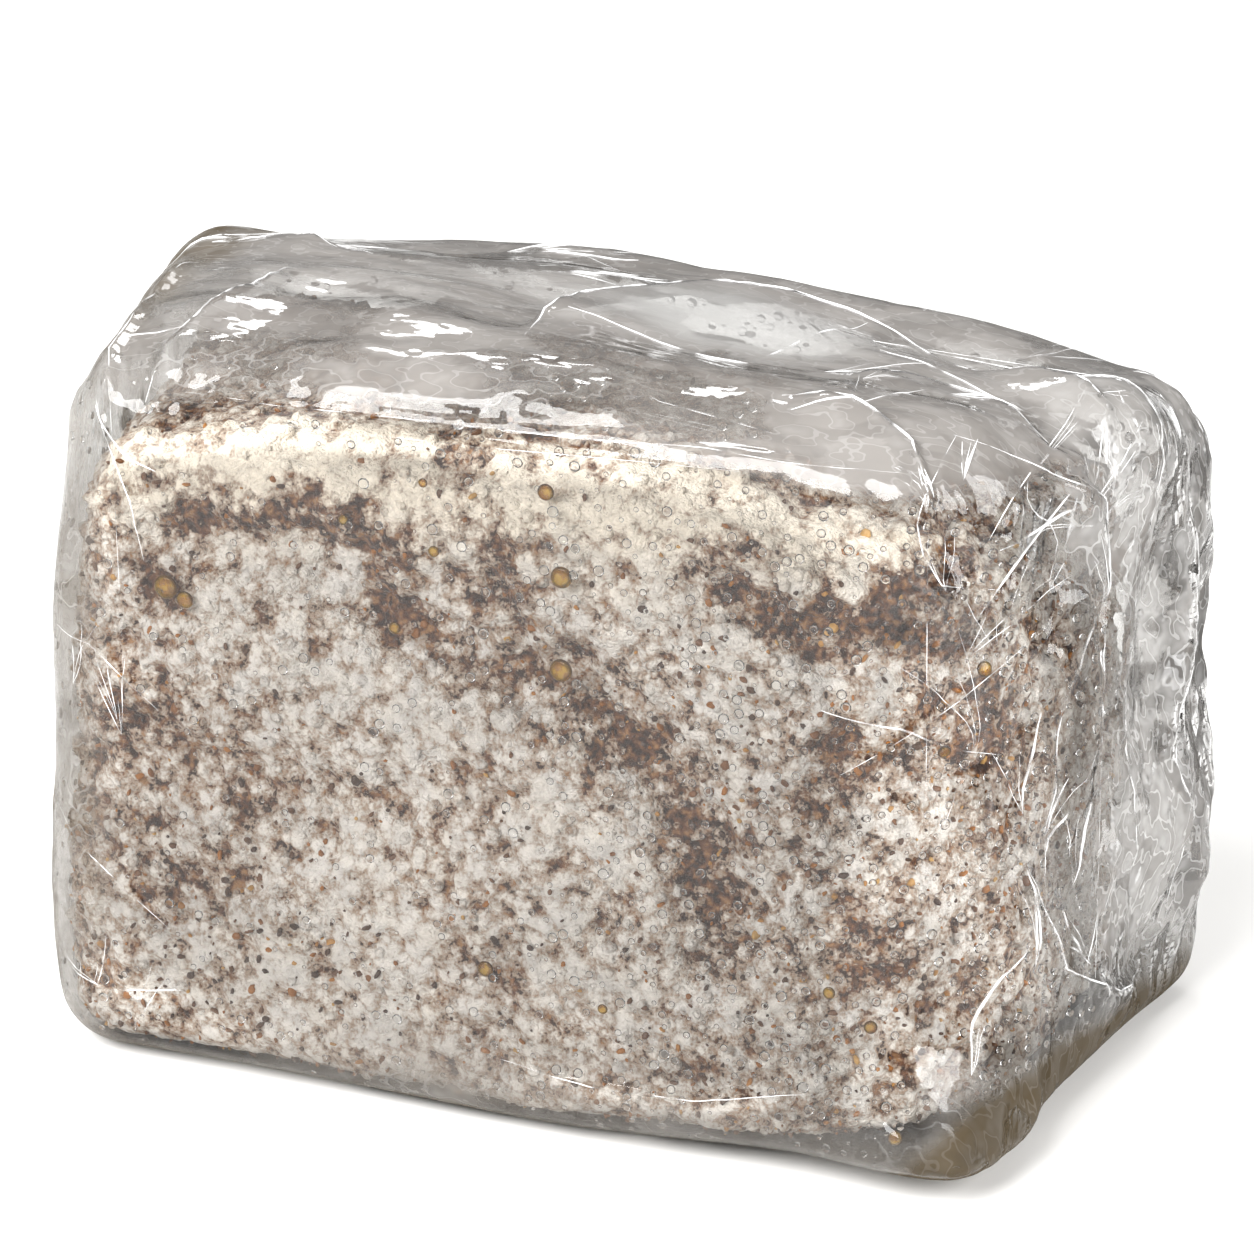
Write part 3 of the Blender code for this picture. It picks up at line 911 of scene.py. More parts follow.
def foldHeight(place, side):  # gentle slope up to each crease, then a steep drop
    a, b = [place[axis] / mm for axis in foldAxes[side]]
    height = 0.0
    spot = Vector((a, b))
    for _, foldSide, path, tall, gentle, steep in filmFolds:
        if foldSide != side:
            continue
        reach = gentle + 4
        if not (min(p[0] for p in path) - reach < a < max(p[0] for p in path) + reach):
            continue
        if not (min(p[1] for p in path) - reach < b < max(p[1] for p in path) + reach):
            continue
        best = (math.inf, 0.0, 0.0)
        count = len(path) - 1
        for step in range(count):
            start = Vector(path[step])
            run = Vector(path[step + 1]) - start
            share = min(max((spot - start).dot(run) / run.length_squared, 0.0), 1.0)
            offset = spot - start - run * share
            if offset.length < best[0]:
                signed = math.copysign(offset.length, run.cross(offset))
                best = (offset.length, signed, (step + share) / count)
        _, signed, along = best
        taper = ease(4 * along) * ease(4 * (1 - along))
        if signed < 0:
            height += tall * mm * taper * max(0.0, 1 + signed / gentle)
        else:
            height += tall * mm * taper * max(0.0, 1 - signed / steep)
    return height


def facetWaves(sizes, height, upright):
    chance = random.Random(film["seed"])
    waves = []
    for size in sizes:
        direction = Vector([chance.gauss(0, 1) for _ in range(3)])
        direction.z *= upright
        direction.normalize()
        waves.append((direction / (size * mm), chance.random() * 2, size * height * mm))
    return waves


def crumple(place, waves):  # flat facets that meet in sharp creases
    slow = place / film["warpSize"]
    warped = place + noise.noise_vector(slow) * film["warp"]
    height = 0.0
    for direction, phase, size in waves:
        turn = (warped.dot(direction) + phase) % 2
        height += size * (abs(turn - 1) - 0.5)
    return height


def streaked(place):  # long soft ripples, from -1 to 1
    spot = Vector([place[i] / film["streakSize"][i] for i in range(3)])
    return noise.noise(spot) + 0.45 * noise.noise(spot * 2.1)


def flatFacet(place):  # which way the flat facets here are turned, and how much haze they hold
    turn = Vector((0.0, 0.0, 0.0))
    layers = 1.0
    wandered = place / mm + film["flatWander"] * noise.noise_vector(place / film["flatWanderSize"])
    spot = Vector([wandered[i] * film["flatStretch"][i] for i in range(3)])
    for size, tilt in film["flats"]:
        middle = noise.voronoi(spot / size)[1][0] * film["flatSpread"]
        turn += noise.noise_vector(middle) * tilt
        layers *= 1 + 0.5 * noise.noise(middle + knobPlace)
    return turn, layers


def reached(place, spot):  # 1 in the middle of a spot on the top, 0 well outside it
    middle, reach = spot
    away = ((place.x / mm - middle[0]) / reach[0]) ** 2 + ((place.y / mm - middle[1]) / reach[1]) ** 2
    return math.exp(-away * away)


def looseness(point):  # tight on the front and left, loose over the top and right end
    here = {
        "top": past(point.z, filmEdges["looseTop"]),
        "right": past(point.x, filmEdges["looseRight"]),
        "left": past(point.x, filmEdges["looseLeft"]),
        "back": past(point.y, filmEdges["looseBack"]),
    }
    return strongest(looseShares, here) * past(point.z, filmEdges["offFloor"])


tail = {  # the free end, folded down behind
    "halfWidth": 0.80,
    "low": 0.80,
    "high": 0.877,
    "length": 62 * mm,
    "narrows": 0.10,
    "standoff": 1.2 * mm,
    "thickness": 2.2 * mm,
    "steps": 20,
    "ripple": 1.6 * mm,
    "rippleSize": 11 * mm,
}


def tailPlace(start, outer, share):  # down the sleeve, from the slot at 0 to the mouth at 1
    stand = tail["thickness"] if outer else 0.0
    drop = tail["length"] * share - stand * (1 - share)
    across = start.x * (1 - tail["narrows"] * share)
    ripple = noise.noise(Vector((across / tail["rippleSize"], share * 1.5, 4.0)))
    lift = tail["standoff"] + tail["ripple"] * (0.5 + 0.5 * ripple) * ease(3 * share)
    return Vector((across, start.y + lift + stand, start.z - drop))


def drawTail(item):  # opens a slot in the back and draws its rim out into a sleeve
    bm = bmesh.new()
    bm.from_mesh(item.data)
    cube = bm.verts.layers.float_vector["cube"]
    lid = []
    for face in bm.faces:
        middle = sum((vert[cube] for vert in face.verts), Vector()) / len(face.verts)
        level = (middle.z + 1) / 2
        inside = tail["low"] < level < tail["high"] and abs(middle.x) < tail["halfWidth"]
        if inside and middle.y > 0.98:
            lid.append(face)
    bmesh.ops.delete(bm, geom=lid, context="FACES")
    rim = [edge for edge in bm.edges if edge.is_boundary]
    rimVerts = [vert for vert in bm.verts if vert.is_boundary]
    split = tail["low"] + tail["high"] - 1
    lower = [vert for vert in rimVerts if vert[cube].z <= split]
    back = max(vert.co.y for vert in bm.verts)
    starts = {}
    for vert in rimVerts:
        below = min(lower, key=lambda other: abs(other.co.x - vert.co.x))
        starts[vert] = (Vector((vert.co.x, back, below.co.z)), vert[cube].z > split)
    for step in range(tail["steps"] + 1):
        grown = bmesh.ops.extrude_edge_only(bm, edges=rim)["geom"]
        newStarts = {}
        for vert in grown:
            if isinstance(vert, bmesh.types.BMVert):
                linked = [edge.other_vert(vert) for edge in vert.link_edges]
                newStarts[vert] = starts[next(other for other in linked if other in starts)]
        for vert, (start, outer) in newStarts.items():
            vert.co = tailPlace(start, outer, step / tail["steps"])
        starts = newStarts
        newEdges = [part for part in grown if isinstance(part, bmesh.types.BMEdge)]
        rim = [edge for edge in newEdges if edge.is_boundary]
    bmesh.ops.recalc_face_normals(bm, faces=bm.faces[:])
    bm.to_mesh(item.data)
    bm.free()


def refined(item):  # one subdivision, as a plain mesh
    smoother = item.modifiers.new("smoother", "SUBSURF")
    smoother.levels = 1
    smoother.render_levels = 1
    shape = item.evaluated_get(bpy.context.evaluated_depsgraph_get())
    mesh = bpy.data.meshes.new_from_object(shape)
    item.modifiers.remove(smoother)
    item.data = mesh


def filmRise(place, normal, point, waves, calm, flat):  # how far the film stands out here
    loose = max(looseness(point), film["tightCrumple"] * past(point.z, filmEdges["tight"]))
    rise = crumple(place, waves["facets"]) * loose * calm
    ripples = film["streakHeight"] * streaked(place) * loose * calm
    rise += ripples * (1 - reliefLess["level"] * past(point.z, filmEdges["level"]))
    pleats = crumple(place, waves["creasing"]) * past(point.x, filmEdges["creasing"])
    rise += pleats * past(point.z, filmEdges["offFloor"]) * (1 - reliefLess["flat"] * flat)
    sides = (("top", point.z, normal.z), ("front", -point.y, -normal.y), ("end", point.x, normal.x))
    for side, outward, facing in sides:
        if outward > 0.6:
            rise += foldHeight(place, side) * past(facing, filmEdges["foldFacing"])
    return rise


def filmLook(place, normal, point, across, calm, flat):
    # the shares that the film's material and the drops read, and how its flat facets are turned
    x, y, z = place / mm
    darkened = oliveFoot["height"] * past(across, (oliveFoot["starts"], oliveFoot["grows"]))
    olive = ease((darkened - oliveFoot["falls"] * (y + oliveFoot["front"]) - z) / oliveFoot["softens"] + 0.5)
    hazeStarts = hazyRight["starts"] - hazyRight["spreads"] * past(z, filmEdges["rightSpreads"])
    right = past(x, filmEdges["right"]) * past(across, (hazeStarts, hazyRight["width"]))
    here = {
        "all": 1.0,
        "top": past(normal.z, filmEdges["top"]),
        "right": right * (1 - hazyRight["thinsLow"] * past(z, filmEdges["rightLow"])),
        "left": past(x, filmEdges["left"]),
        "back": past(normal.y, filmEdges["back"]),
        "rim": max(past(x, filmEdges["leftRim"]), past(z, filmEdges["floorRim"])),
        "foot": ease(1 - z / hazyFoot["height"]),
        "corner": past(x, filmEdges["corner"]),
        "olive": olive * past(across, (oliveFoot["starts"], oliveFoot["ends"])),
    }
    for window in clearWindows:
        here["top"] *= 1 - 0.6 * reached(place, window)
    haze = max(strongest(hazeFrom, here), hazyFoot["share"] * here["foot"] * past(x, filmEdges["foot"]))
    drift = 0.88 + 0.3 * noise.noise(place / film["driftSize"])
    turn, layers = flatFacet(place)
    slack = max(looseness(point), strongest(slackFrom, here)) * (0.25 + 0.75 * calm)
    slack *= 1 - 0.7 * flat
    wet = 0.3 + 0.7 * past(x, filmEdges["wet"])
    looks = {
        "haze": max(haze * drift * layers, oliveHaze * here["olive"]),
        "olive": max(strongest(oliveFrom, here), oliveRim * here["rim"] * (1 - here["right"])),
        # pale: paler at the right end, and painted paler at the bright facet as a painted highlight
        "pale": max(paleRight * here["right"], 1 - calm),
        "slack": thinned(slack, slackLess, here),
        "dropShare": thinned(wet * past(z, filmEdges["drops"]), dropsLess, here),
    }
    return looks, turn * slack * (1 - 0.75 * max(here["top"], past(z, filmEdges["topRim"])))


def buildFilm():
    points, quads = boxGrid(film["cells"])
    item = addMesh("film", [filmPlace(point) for point in points], quads)
    cube = item.data.attributes.new("cube", "FLOAT_VECTOR", "POINT")
    cube.data.foreach_set("vector", [c for point in points for c in point])
    refined(item)
    points = [Vector(value.vector) for value in item.data.attributes["cube"].data]
    waves = {
        "facets": facetWaves(film["facets"], film["facetHeight"], 1.0),
        "creasing": facetWaves(film["creasing"], film["creasingHeight"], film["creasingUpright"]),
    }
    shares = {"haze": [], "olive": [], "pale": [], "slack": [], "dropShare": []}
    turns = []
    for vert, normal, point in zip(item.data.vertices, vertexNormals(item), points):
        calm = 1 - reached(vert.co, brightFacet) * past(point.z, filmEdges["level"])
        # round the front right corner the film lies flat on the felt, up to the shoulder
        across = (vert.co.x + viewSlant * (vert.co.y + bag["halfDepth"])) / mm
        up = vert.co.z / mm
        flat = past(across, filmEdges["flatAcross"]) * past(up, filmEdges["flatHigh"])
        flat *= past(up, filmEdges["flatLow"])
        flat *= past(point.x, filmEdges["flatEnd"])
        vert.co = vert.co + normal * filmRise(vert.co, normal, point, waves, calm, flat)
        vert.co.z = max(vert.co.z, 0.0)
        looks, turn = filmLook(vert.co, normal, point, across, calm, flat)
        turns.extend(turn)
        for name, share in looks.items():
            shares[name].append(share)
    item.data.update()
    for name, values in shares.items():
        setAttribute(item, name, values)
    item.data.attributes.new("turned", "FLOAT_VECTOR", "POINT").data.foreach_set("vector", turns)
    drawTail(item)
    item.data.attributes.remove(item.data.attributes["cube"])
    item.data.shade_smooth()
    item.data.materials.append(filmMaterial("clear polypropylene film", filmFinish))
    return item


def filmMaterial(name, finish):
    # polypropylene film, blown and gusseted: clear and glossy, greyed by fine
    # condensation on its inner side
    material, tree = newMaterial(name)
    place = addNode(tree, "ShaderNodeTexCoord").outputs["Object"]
    millimetres = addNode(
        tree, "ShaderNodeVectorMath", {0: place, "Scale": 1 / mm}, operation="SCALE",
    ).outputs[0]
    haze, olive, pale, slack = [
        addNode(tree, "ShaderNodeAttribute", attribute_name=share).outputs["Fac"]
        for share in ("haze", "olive", "pale", "slack")
    ]

    # flat facets, each turned its own way
    turned = addNode(tree, "ShaderNodeAttribute", attribute_name="turned").outputs["Vector"]
    facing = addNode(tree, "ShaderNodeNewGeometry").outputs["Normal"]
    facing = addNode(tree, "ShaderNodeVectorMath", {0: facing, 1: turned}, operation="ADD").outputs[0]
    facing = addNode(tree, "ShaderNodeVectorMath", {0: facing}, operation="NORMALIZE").outputs[0]

    # where the film clings and lifts: small curls, whitened where it is crumpled, with painted highlights
    # along the curls
    drawnOut = addNode(tree, "ShaderNodeMapping", {
        "Vector": millimetres, "Scale": finish["curlStretch"],
    }).outputs[0]
    clings = addNode(tree, "ShaderNodeTexNoise", {
        "Vector": drawnOut, "Scale": 1 / finish["curlSize"], "Detail": 1.0, "Roughness": 0.6,
    }).outputs["Fac"]
    curl = addNode(
        tree, "ShaderNodeMath", {0: clings, 1: 0.5, 2: finish["curlWidth"]}, operation="COMPARE",
    ).outputs[0]
    lifted = addNode(tree, "ShaderNodeMapRange", {
        "Value": clings, "From Min": 0.45, "From Max": 0.75, "To Min": 0.0, "To Max": finish["liftedWhite"],
    }).outputs[0]
    whiter = addNode(
        tree, "ShaderNodeMath", {0: curl, 1: finish["curlWhite"], 2: lifted}, operation="MULTIPLY_ADD",
    ).outputs[0]
    whiter = addNode(
        tree, "ShaderNodeMath", {0: whiter, 1: slack}, operation="MULTIPLY", use_clamp=True,
    ).outputs[0]
    opaque = addNode(
        tree, "ShaderNodeMath", {0: whiter, 1: 0.3, 2: haze}, operation="MULTIPLY_ADD", use_clamp=True,
    ).outputs[0]
    grey = linear(finish["haze"])
    for share, tone in ((pale, "pale"), (olive, "olive"), (whiter, "whitened")):
        grey = addNode(
            tree, "ShaderNodeMix", {0: share, 6: grey, 7: linear(finish[tone])}, data_type="RGBA",
        ).outputs[2]

    dull = addNode(tree, "ShaderNodeBsdfDiffuse", {"Color": grey, "Normal": facing})
    through = addNode(tree, "ShaderNodeBsdfTranslucent", {"Color": grey})
    scatter = addNode(tree, "ShaderNodeMixShader", {0: 0.4, 1: dull.outputs[0], 2: through.outputs[0]})
    clear = addNode(tree, "ShaderNodeBsdfTransparent", {"Color": linear(finish["tint"])})
    body = addNode(tree, "ShaderNodeMixShader", {0: opaque, 1: clear.outputs[0], 2: scatter.outputs[0]})

    waves = addNode(tree, "ShaderNodeMath", {0: clings, 1: slack}, operation="MULTIPLY").outputs[0]
    bump = addNode(tree, "ShaderNodeBump", {
        "Height": waves, "Distance": finish["curlHeight"], "Strength": 0.8, "Normal": facing,
    }).outputs[0]
    fresnel = addNode(tree, "ShaderNodeFresnel", {"IOR": finish["ior"], "Normal": bump}).outputs[0]
    glossKept = addNode(
        tree, "ShaderNodeMath", {0: olive, 1: -finish["oliveDulls"], 2: 1.0}, operation="MULTIPLY_ADD",
    ).outputs[0]
    fresnel = addNode(tree, "ShaderNodeMath", {0: fresnel, 1: glossKept}, operation="MULTIPLY").outputs[0]
    gloss = addNode(tree, "ShaderNodeBsdfGlossy", {"Roughness": finish["roughness"], "Normal": bump})
    shader = addNode(tree, "ShaderNodeMixShader", {0: fresnel, 1: body.outputs[0], 2: gloss.outputs[0]})
    addNode(tree, "ShaderNodeOutputMaterial", {"Surface": shader.outputs[0]})
    return material


# condensation, drops of metabolite and fine creases

drops = {
    "Spacing": 2.3 * mm, "Density": 2.0e5, "Smallest": 0.35 * mm, "Largest": 1.15 * mm,
    "Sunk": -0.08 * mm, "Tilt": 0.0, "Seed": 8,
}
dropRings = ((1.0, 0.0), (0.9, -0.32), (0.5, -0.56))
dropSides = 8


def waterMaterial(name):
    # water beaded on the inner side of the film: clear, so it bends what lies behind it
    # and shows a dark and a bright rim
    material, tree = newMaterial(name)
    shader = addNode(tree, "ShaderNodeBsdfPrincipled", {
        "Base Color": (1.0, 1.0, 1.0, 1.0), "Roughness": 0.0, "IOR": 1.33, "Transmission Weight": 1.0,
    })
    addNode(tree, "ShaderNodeOutputMaterial", {"Surface": shader.outputs[0]})
    return material


def buildDrops(surface):
    mesh = bpy.data.meshes.new("drop")
    points, faces = roundBody(dropSides, dropRings)
    mesh.from_pydata(points, [], faces)
    mesh.shade_smooth()
    mesh.set_sharp_from_angle(angle=0.9)
    shapes = [bpy.data.objects.new("drop", mesh)]
    return scatterOn(surface, "condensation", "dropShare", shapes, waterMaterial("condensed water"), drops)


amberDrops = (  # across and up the front in mm, radius in mm
    (7, 131, 1.6), (10, 115, 2.1), (-15, 117, 1.1), (79, 128, 1.4), (10, 97, 2.2), (-23, 101, 1.2),
    (-5, 35, 1.6), (-70, 103, 2.4), (-66, 101, 1.7), (63, 41, 1.2), (81, 87, 1.3), (86, 101, 1.5),
    (71, 35, 1.3), (77, 15, 1.4), (-33, 121, 1.0), (-17, 130, 0.9), (19, 31, 1.0), (90, 112, 1.4),
)
amberFinish = {
    # rim: the colour of the painted shade at each drop's edge
    "amber": "#F5C740", "rust": "#CC8A24", "rim": "#4A2A0E",
    "cloudSize": 1.4 * mm, "clear": 0.65, "roughness": 0.03, "ior": 1.38,
}
amberRings = (
    (0.1, 0.0), (0.45, -0.01), (0.75, -0.06), (0.97, -0.22),
    (1.0, -0.4), (0.86, -0.7), (0.5, -0.92), (0.2, -1.0),
)
paintedAmberRimShade = (0.0, 0.05, 0.4, 0.9, 1.0, 0.9, 0.6, 0.5)  # painted shade: how dark each ring is, darkest at the drop's edge
amberSides = 20
amberDepth = 0.8  # of the radius, where the block leaves room
amberSinks = 0.3 * mm  # into the felt behind
amberClearance = 0.08 * mm


def amberMaterial(name, finish):
    # the mycelium's own metabolite: a thin honey-coloured syrup, clear and wet
    material, tree = newMaterial(name)
    place = addNode(tree, "ShaderNodeTexCoord").outputs["Object"]
    cloud = addNode(tree, "ShaderNodeTexNoise", {
        "Vector": place, "Scale": 1 / finish["cloudSize"], "Detail": 1.0,
    }).outputs["Fac"]
    share = addNode(tree, "ShaderNodeMapRange", {
        "Value": cloud, "From Min": 0.4, "From Max": 0.62,
    }).outputs[0]
    # painted shade: darker towards the drop's edge
    paintedShade = addNode(tree, "ShaderNodeAttribute", attribute_name="paintedShade").outputs["Fac"]
    colour = linear(finish["amber"])
    for amount, tone in ((share, "rust"), (paintedShade, "rim")):
        colour = addNode(
            tree, "ShaderNodeMix", {0: amount, 6: colour, 7: linear(finish[tone])}, data_type="RGBA",
        ).outputs[2]
    shader = addNode(tree, "ShaderNodeBsdfPrincipled", {
        "Base Color": colour, "Roughness": finish["roughness"], "IOR": finish["ior"],
        "Transmission Weight": finish["clear"],
    })
    addNode(tree, "ShaderNodeOutputMaterial", {"Surface": shader.outputs[0]})
    return material


def buildAmber(filmSurface, blockSurface):
    # each drop clings to the inner side of the film, in front of the block
    points = []
    faces = []
    towardsBlock = Vector((0.0, 1.0, 0.0))
    for across, up, radius in amberDrops:
        origin = Vector((across * mm, -0.2, up * mm))
        skin, normal, _, _ = filmSurface.ray_cast(origin, towardsBlock)
        behind, _, _, _ = blockSurface.ray_cast(origin, towardsBlock)
        if skin is None or behind is None:
            continue
        depth = min((behind - skin).dot(towardsBlock) + amberSinks, amberDepth * radius * mm)
        turn = normal.to_track_quat("Z", "Y").to_matrix()
        first = len(points)
        body, sides = roundBody(amberSides, amberRings)
        for spot in body:
            points.append(skin + turn @ Vector((
                spot.x * radius * mm, spot.y * radius * mm, spot.z * depth - amberClearance,
            )))
        faces += [tuple(first + index for index in face) for face in sides]
    item = addMesh("amber_drops", points, faces)
    paintedShades = [paintedShade for paintedShade in paintedAmberRimShade for _ in range(amberSides)]
    setAttribute(item, "paintedShade", paintedShades * (len(points) // len(paintedShades)))
    item.data.materials.append(amberMaterial("honey-coloured metabolite", amberFinish))
    return item


creases = {
    "width": 0.11 * mm,
    "step": 2.4,  # mm between the points of a crease
    "lift": 0.06 * mm,
    "seed": 31,
    "sides": 5,
    "breakSize": 7 * mm,  # of the clear and the milky stretches along a crease
    "white": "#FAFAFA",
    "roughness": 0.18,
}
creaseFields = (  # side, across from and to, up from and to, how many, direction, its spread, length in mm
    ("end", (-50, 55), (10, 142), 18, 75, 25, (8, 26)),
    ("front", (70, 108), (96, 146), 10, 62, 30, (8, 22)),
    ("top", (38, 108), (-50, 50), 12, 20, 35, (8, 24)),
    ("top", (-100, 38), (-52, 50), 8, 0, 15, (8, 24)),
    ("front", (-98, -80), (8, 140), 5, 80, 20, (6, 18)),
    ("left", (-45, 48), (8, 138), 10, 80, 30, (8, 24)),
    ("back", (-90, 90), (8, 140), 14, 60, 50, (8, 26)),
)
paintedHighlightCreases = (  # side, path in mm, weight: white lines painted where the film catches the light, painted highlights that do not stand up
    ("top", ((-4, -10), (11, -13), (26, -16), (33, -15), (38, 1), (45, 23)), 2.6),
    ("top", ((49, -38), (59, -33), (72, -39), (76, -46)), 3.4),
    ("top", ((-101, 25), (-92, 27), (-83, 27)), 4.5),
    ("top", ((52, 8), (66, 2), (84, -6)), 2.0),
    ("front", ((-84, 137), (-81, 133), (-77, 128), (-71, 126)), 2.2),
    ("front", ((-94, 20), (-86, 17), (-71, 19)), 2.0),
    ("front", ((88, 84), (76, 92), (60, 96)), 2.2),
    ("front", ((97, 131), (92, 124), (85, 112)), 2.6),
)
creaseBundle = 3  # creases that run together from one point
creaseFan = 0.22  # radians between them
broadCreases = 0.2  # how many are pulled out into a broad white fold
broadWeight = 3.0
castFrom = {  # where a ray towards each side starts, and which way it runs
    "top": (lambda a, b: Vector((a * mm, b * mm, 0.3)), Vector((0.0, 0.0, -1.0))),
    "front": (lambda a, b: Vector((a * mm, -0.3, b * mm)), Vector((0.0, 1.0, 0.0))),
    "back": (lambda a, b: Vector((a * mm, 0.3, b * mm)), Vector((0.0, -1.0, 0.0))),
    "end": (lambda a, b: Vector((0.3, a * mm, b * mm)), Vector((-1.0, 0.0, 0.0))),
    "left": (lambda a, b: Vector((-0.3, a * mm, b * mm)), Vector((1.0, 0.0, 0.0))),
}


def onFilm(surface, side, path):  # the path's points laid on the film
    start, direction = castFrom[side]
    laid = []
    for a, b in path:
        spot, normal, _, _ = surface.ray_cast(start(a, b), direction)
        if spot is None or normal.dot(direction) > -0.2:
            continue
        laid.append(spot + normal * creases["lift"])
    return laid


def along(path, step):  # points every step along a line through the path's own points
    points = []
    for start, finish in zip(path, path[1:]):
        run = Vector(finish) - Vector(start)
        count = max(1, round(run.length / step))
        points += [Vector(start) + run * n / count for n in range(count)]
    points.append(Vector(path[-1]))
    return points


def creasePaths():  # the folds' own crests, the painted highlight lines, then short chance creases
    chance = random.Random(creases["seed"])
    for _, side, path, tall, _, _ in filmFolds:
        yield side, along(path, creases["step"]), 0.9 * tall
    for side, path, weight in paintedHighlightCreases:
        yield side, along(path, creases["step"]), weight
    for side, across, up, count, direction, spread, lengths in creaseFields:
        for _ in range(count):
            start = Vector((chance.uniform(*across), chance.uniform(*up)))
            heading = math.radians(chance.gauss(direction, spread))
            for member in range(creaseBundle):
                spot = start.copy()
                angle = heading + member * creaseFan * chance.uniform(0.6, 1.4)
                bend = chance.gauss(0, 0.04)
                path = [start.copy()]
                for _ in range(round(chance.uniform(*lengths) / creases["step"])):
                    spot += Vector((math.cos(angle), math.sin(angle))) * creases["step"]
                    angle += bend
                    path.append(spot.copy())
                broad = chance.random() < broadCreases
                yield side, path, broadWeight if broad else chance.uniform(0.3, 0.9)


def creaseTree(material):
    tree, given = geometryTree("crease sweep", {
        "Geometry": ("Creases",), "Float": ("Width",), "Int": ("Sides",),
    })
    profile = addNode(tree, "GeometryNodeCurvePrimitiveCircle", {
        "Resolution": given["Sides"], "Radius": given["Width"],
    }).outputs["Curve"]
    radius = addNode(tree, "GeometryNodeInputRadius").outputs[0]
    swept = addNode(tree, "GeometryNodeCurveToMesh", {
        "Curve": given["Creases"], "Profile Curve": profile, "Scale": radius, "Fill Caps": True,
    }).outputs[0]
    smooth = addNode(tree, "GeometryNodeSetShadeSmooth", {"Geometry": swept}).outputs[0]
    return closeTree(tree, smooth, material)


def creaseMaterial(name):
    # film whitened where it was sharply folded, and painted highlights along the creases: milky, still glossy
    material, tree = newMaterial(name)
    place = addNode(tree, "ShaderNodeTexCoord").outputs["Object"]
    broken = addNode(tree, "ShaderNodeTexNoise", {
        "Vector": place, "Scale": 1 / creases["breakSize"], "Detail": 1.0,
    }).outputs["Fac"]
    share = addNode(tree, "ShaderNodeMapRange", {
        "Value": broken, "From Min": 0.4, "From Max": 0.62, "To Min": 0.02, "To Max": 0.85,
    }).outputs[0]
    clear = addNode(tree, "ShaderNodeBsdfTransparent")
    milky = addNode(tree, "ShaderNodeBsdfPrincipled", {
        "Base Color": linear(creases["white"]), "Roughness": creases["roughness"], "IOR": filmFinish["ior"],
    })
    shader = addNode(tree, "ShaderNodeMixShader", {0: share, 1: clear.outputs[0], 2: milky.outputs[0]})
    addNode(tree, "ShaderNodeOutputMaterial", {"Surface": shader.outputs[0]})
    return material


def buildCreases(filmSurface):
    data = bpy.data.curves.new("creases", "CURVE")
    data.dimensions = "3D"
    for side, path, weight in creasePaths():
        laid = onFilm(filmSurface, side, path)
        if len(laid) < 3:
            continue
        spline = data.splines.new("POLY")
        spline.points.add(len(laid) - 1)
        for n, (point, spot) in enumerate(zip(spline.points, laid)):
            point.co = (*spot, 1.0)
            share = n / (len(laid) - 1)
            point.radius = weight * (0.15 + 0.85 * math.sin(math.pi * share))
    drawn = addObject("creases", data)
    tree = creaseTree(creaseMaterial("creased film with painted highlights"))
    item = madeByNodes("film_creases", drawn, tree, {"Width": creases["width"], "Sides": creases["sides"]})
    bpy.data.objects.remove(drawn)
    return item


# the room

studio = {
    "floor": "#ECEBE9",
    "floorReach": 6.0,
    "worldStrength": 0.2,
    "camera": (0.2741, -0.7503, 0.4020),
    "azimuth": -19.81,
    "elevation": 21.69,
    "roll": -0.31,
    "lens": 126.0,
}
lamps = (  # name, place, aimed at, size, watts
    ("overhead", (0.0, 0.2, 1.6), (0.0, 0.0, 0.0), 2.2, 10.0),
    ("front", (-0.38, -1.05, 1.18), (0.0, 0.0, 0.06), 1.25, 58.0),
    ("back", (-0.35, 0.75, 0.95), (0.0, 0.0, 0.1), 0.26, 2.4),
    ("left", (-1.0, -0.2, 0.6), (0.0, 0.0, 0.08), 0.15, 1.0),
    ("right", (1.0, -0.4, 0.6), (0.05, 0.0, 0.08), 0.8, 16.0),
)
lightBounces = {
    "max_bounces": 4,
    "diffuse_bounces": 2,
    "glossy_bounces": 2,
    "transmission_bounces": 4,
}


def addLamps():
    for name, place, target, size, watts in lamps:
        data = bpy.data.lights.new(name, "AREA")
        data.shape = "DISK"
        data.size = size
        data.energy = watts
        lamp = addObject(name, data)
        lamp.location = place
        aim = Vector(target) - Vector(place)
        lamp.rotation_euler = aim.to_track_quat("-Z", "Y").to_euler()


def addWorld():
    world = bpy.data.worlds.new("studio")
    world.use_nodes = True
    background = world.node_tree.nodes["Background"]
    background.inputs["Color"].default_value = (1.0, 1.0, 1.0, 1.0)
    background.inputs["Strength"].default_value = studio["worldStrength"]
    bpy.context.scene.world = world
    for name, count in lightBounces.items():
        setattr(bpy.context.scene.cycles, name, count)


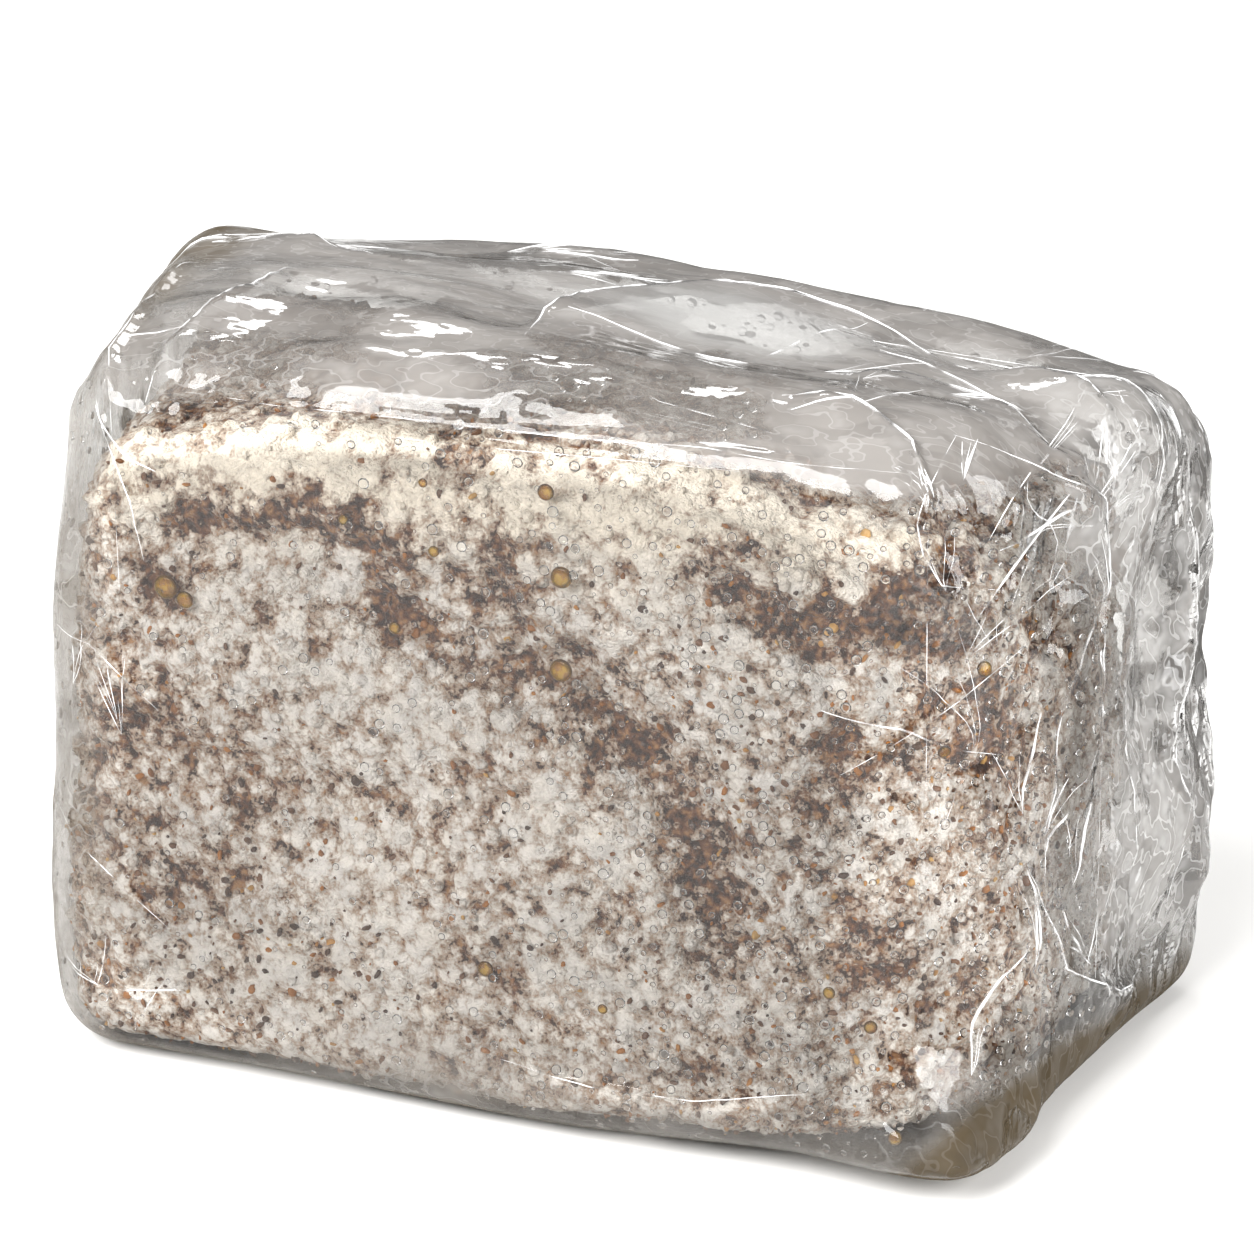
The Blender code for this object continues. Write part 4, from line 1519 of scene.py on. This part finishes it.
def addFloor():
    size = studio["floorReach"]
    corners = [(-size, -size, 0), (size, -size, 0), (size, size, 0), (-size, size, 0)]
    item = addMesh("floor", corners, [(0, 1, 2, 3)])
    material, tree = newMaterial("pale paper")
    shader = addNode(tree, "ShaderNodeBsdfPrincipled", {
        "Base Color": linear(studio["floor"]), "Roughness": 0.9,
    })
    addNode(tree, "ShaderNodeOutputMaterial", {"Surface": shader.outputs[0]})
    item.data.materials.append(material)


def addCamera():
    data = bpy.data.cameras.new("camera")
    data.lens = studio["lens"]
    data.sensor_width = 36.0
    camera = addObject("camera", data)
    azimuth = math.radians(studio["azimuth"])
    elevation = math.radians(studio["elevation"])
    roll = math.radians(studio["roll"])
    level = math.cos(elevation)
    forward = Vector((math.sin(azimuth) * level, math.cos(azimuth) * level, -math.sin(elevation)))
    right = Vector((math.cos(azimuth), -math.sin(azimuth), 0.0))
    up = right.cross(forward)
    rolledRight = math.cos(roll) * right + math.sin(roll) * up
    rolledUp = math.cos(roll) * up - math.sin(roll) * right
    turn = Matrix((rolledRight, rolledUp, -forward)).transposed().to_4x4()
    camera.matrix_world = Matrix.Translation(studio["camera"]) @ turn
    bpy.context.scene.camera = camera


substratePiece = buildSubstrate()
print("substrate", len(substratePiece.data.polygons), "faces")
crumbPieces = buildCrumbs(substratePiece)
filmPiece = buildFilm()
print("film", len(filmPiece.data.polygons), "faces")
filmSurface, blockSurface = [
    BVHTree.FromPolygons(
        [vert.co for vert in mesh.vertices], [tuple(face.vertices) for face in mesh.polygons],
    )
    for mesh in (filmPiece.data, substratePiece.data)
]
wetPieces = [buildDrops(filmPiece), buildAmber(filmSurface, blockSurface)]
creasePiece = buildCreases(filmSurface)
print("creases", len(creasePiece.data.polygons), "faces")

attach(substratePiece, "root")
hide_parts("substrate_block")
for piece in crumbPieces:
    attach(piece, "root")
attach(filmPiece, "root")
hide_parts("bag")
for piece in (*wetPieces, creasePiece):
    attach(piece, "root")

addFloor()
addWorld()
addLamps()
addCamera()
bpy.context.scene.view_settings.view_transform = "Standard"
print("room and camera")
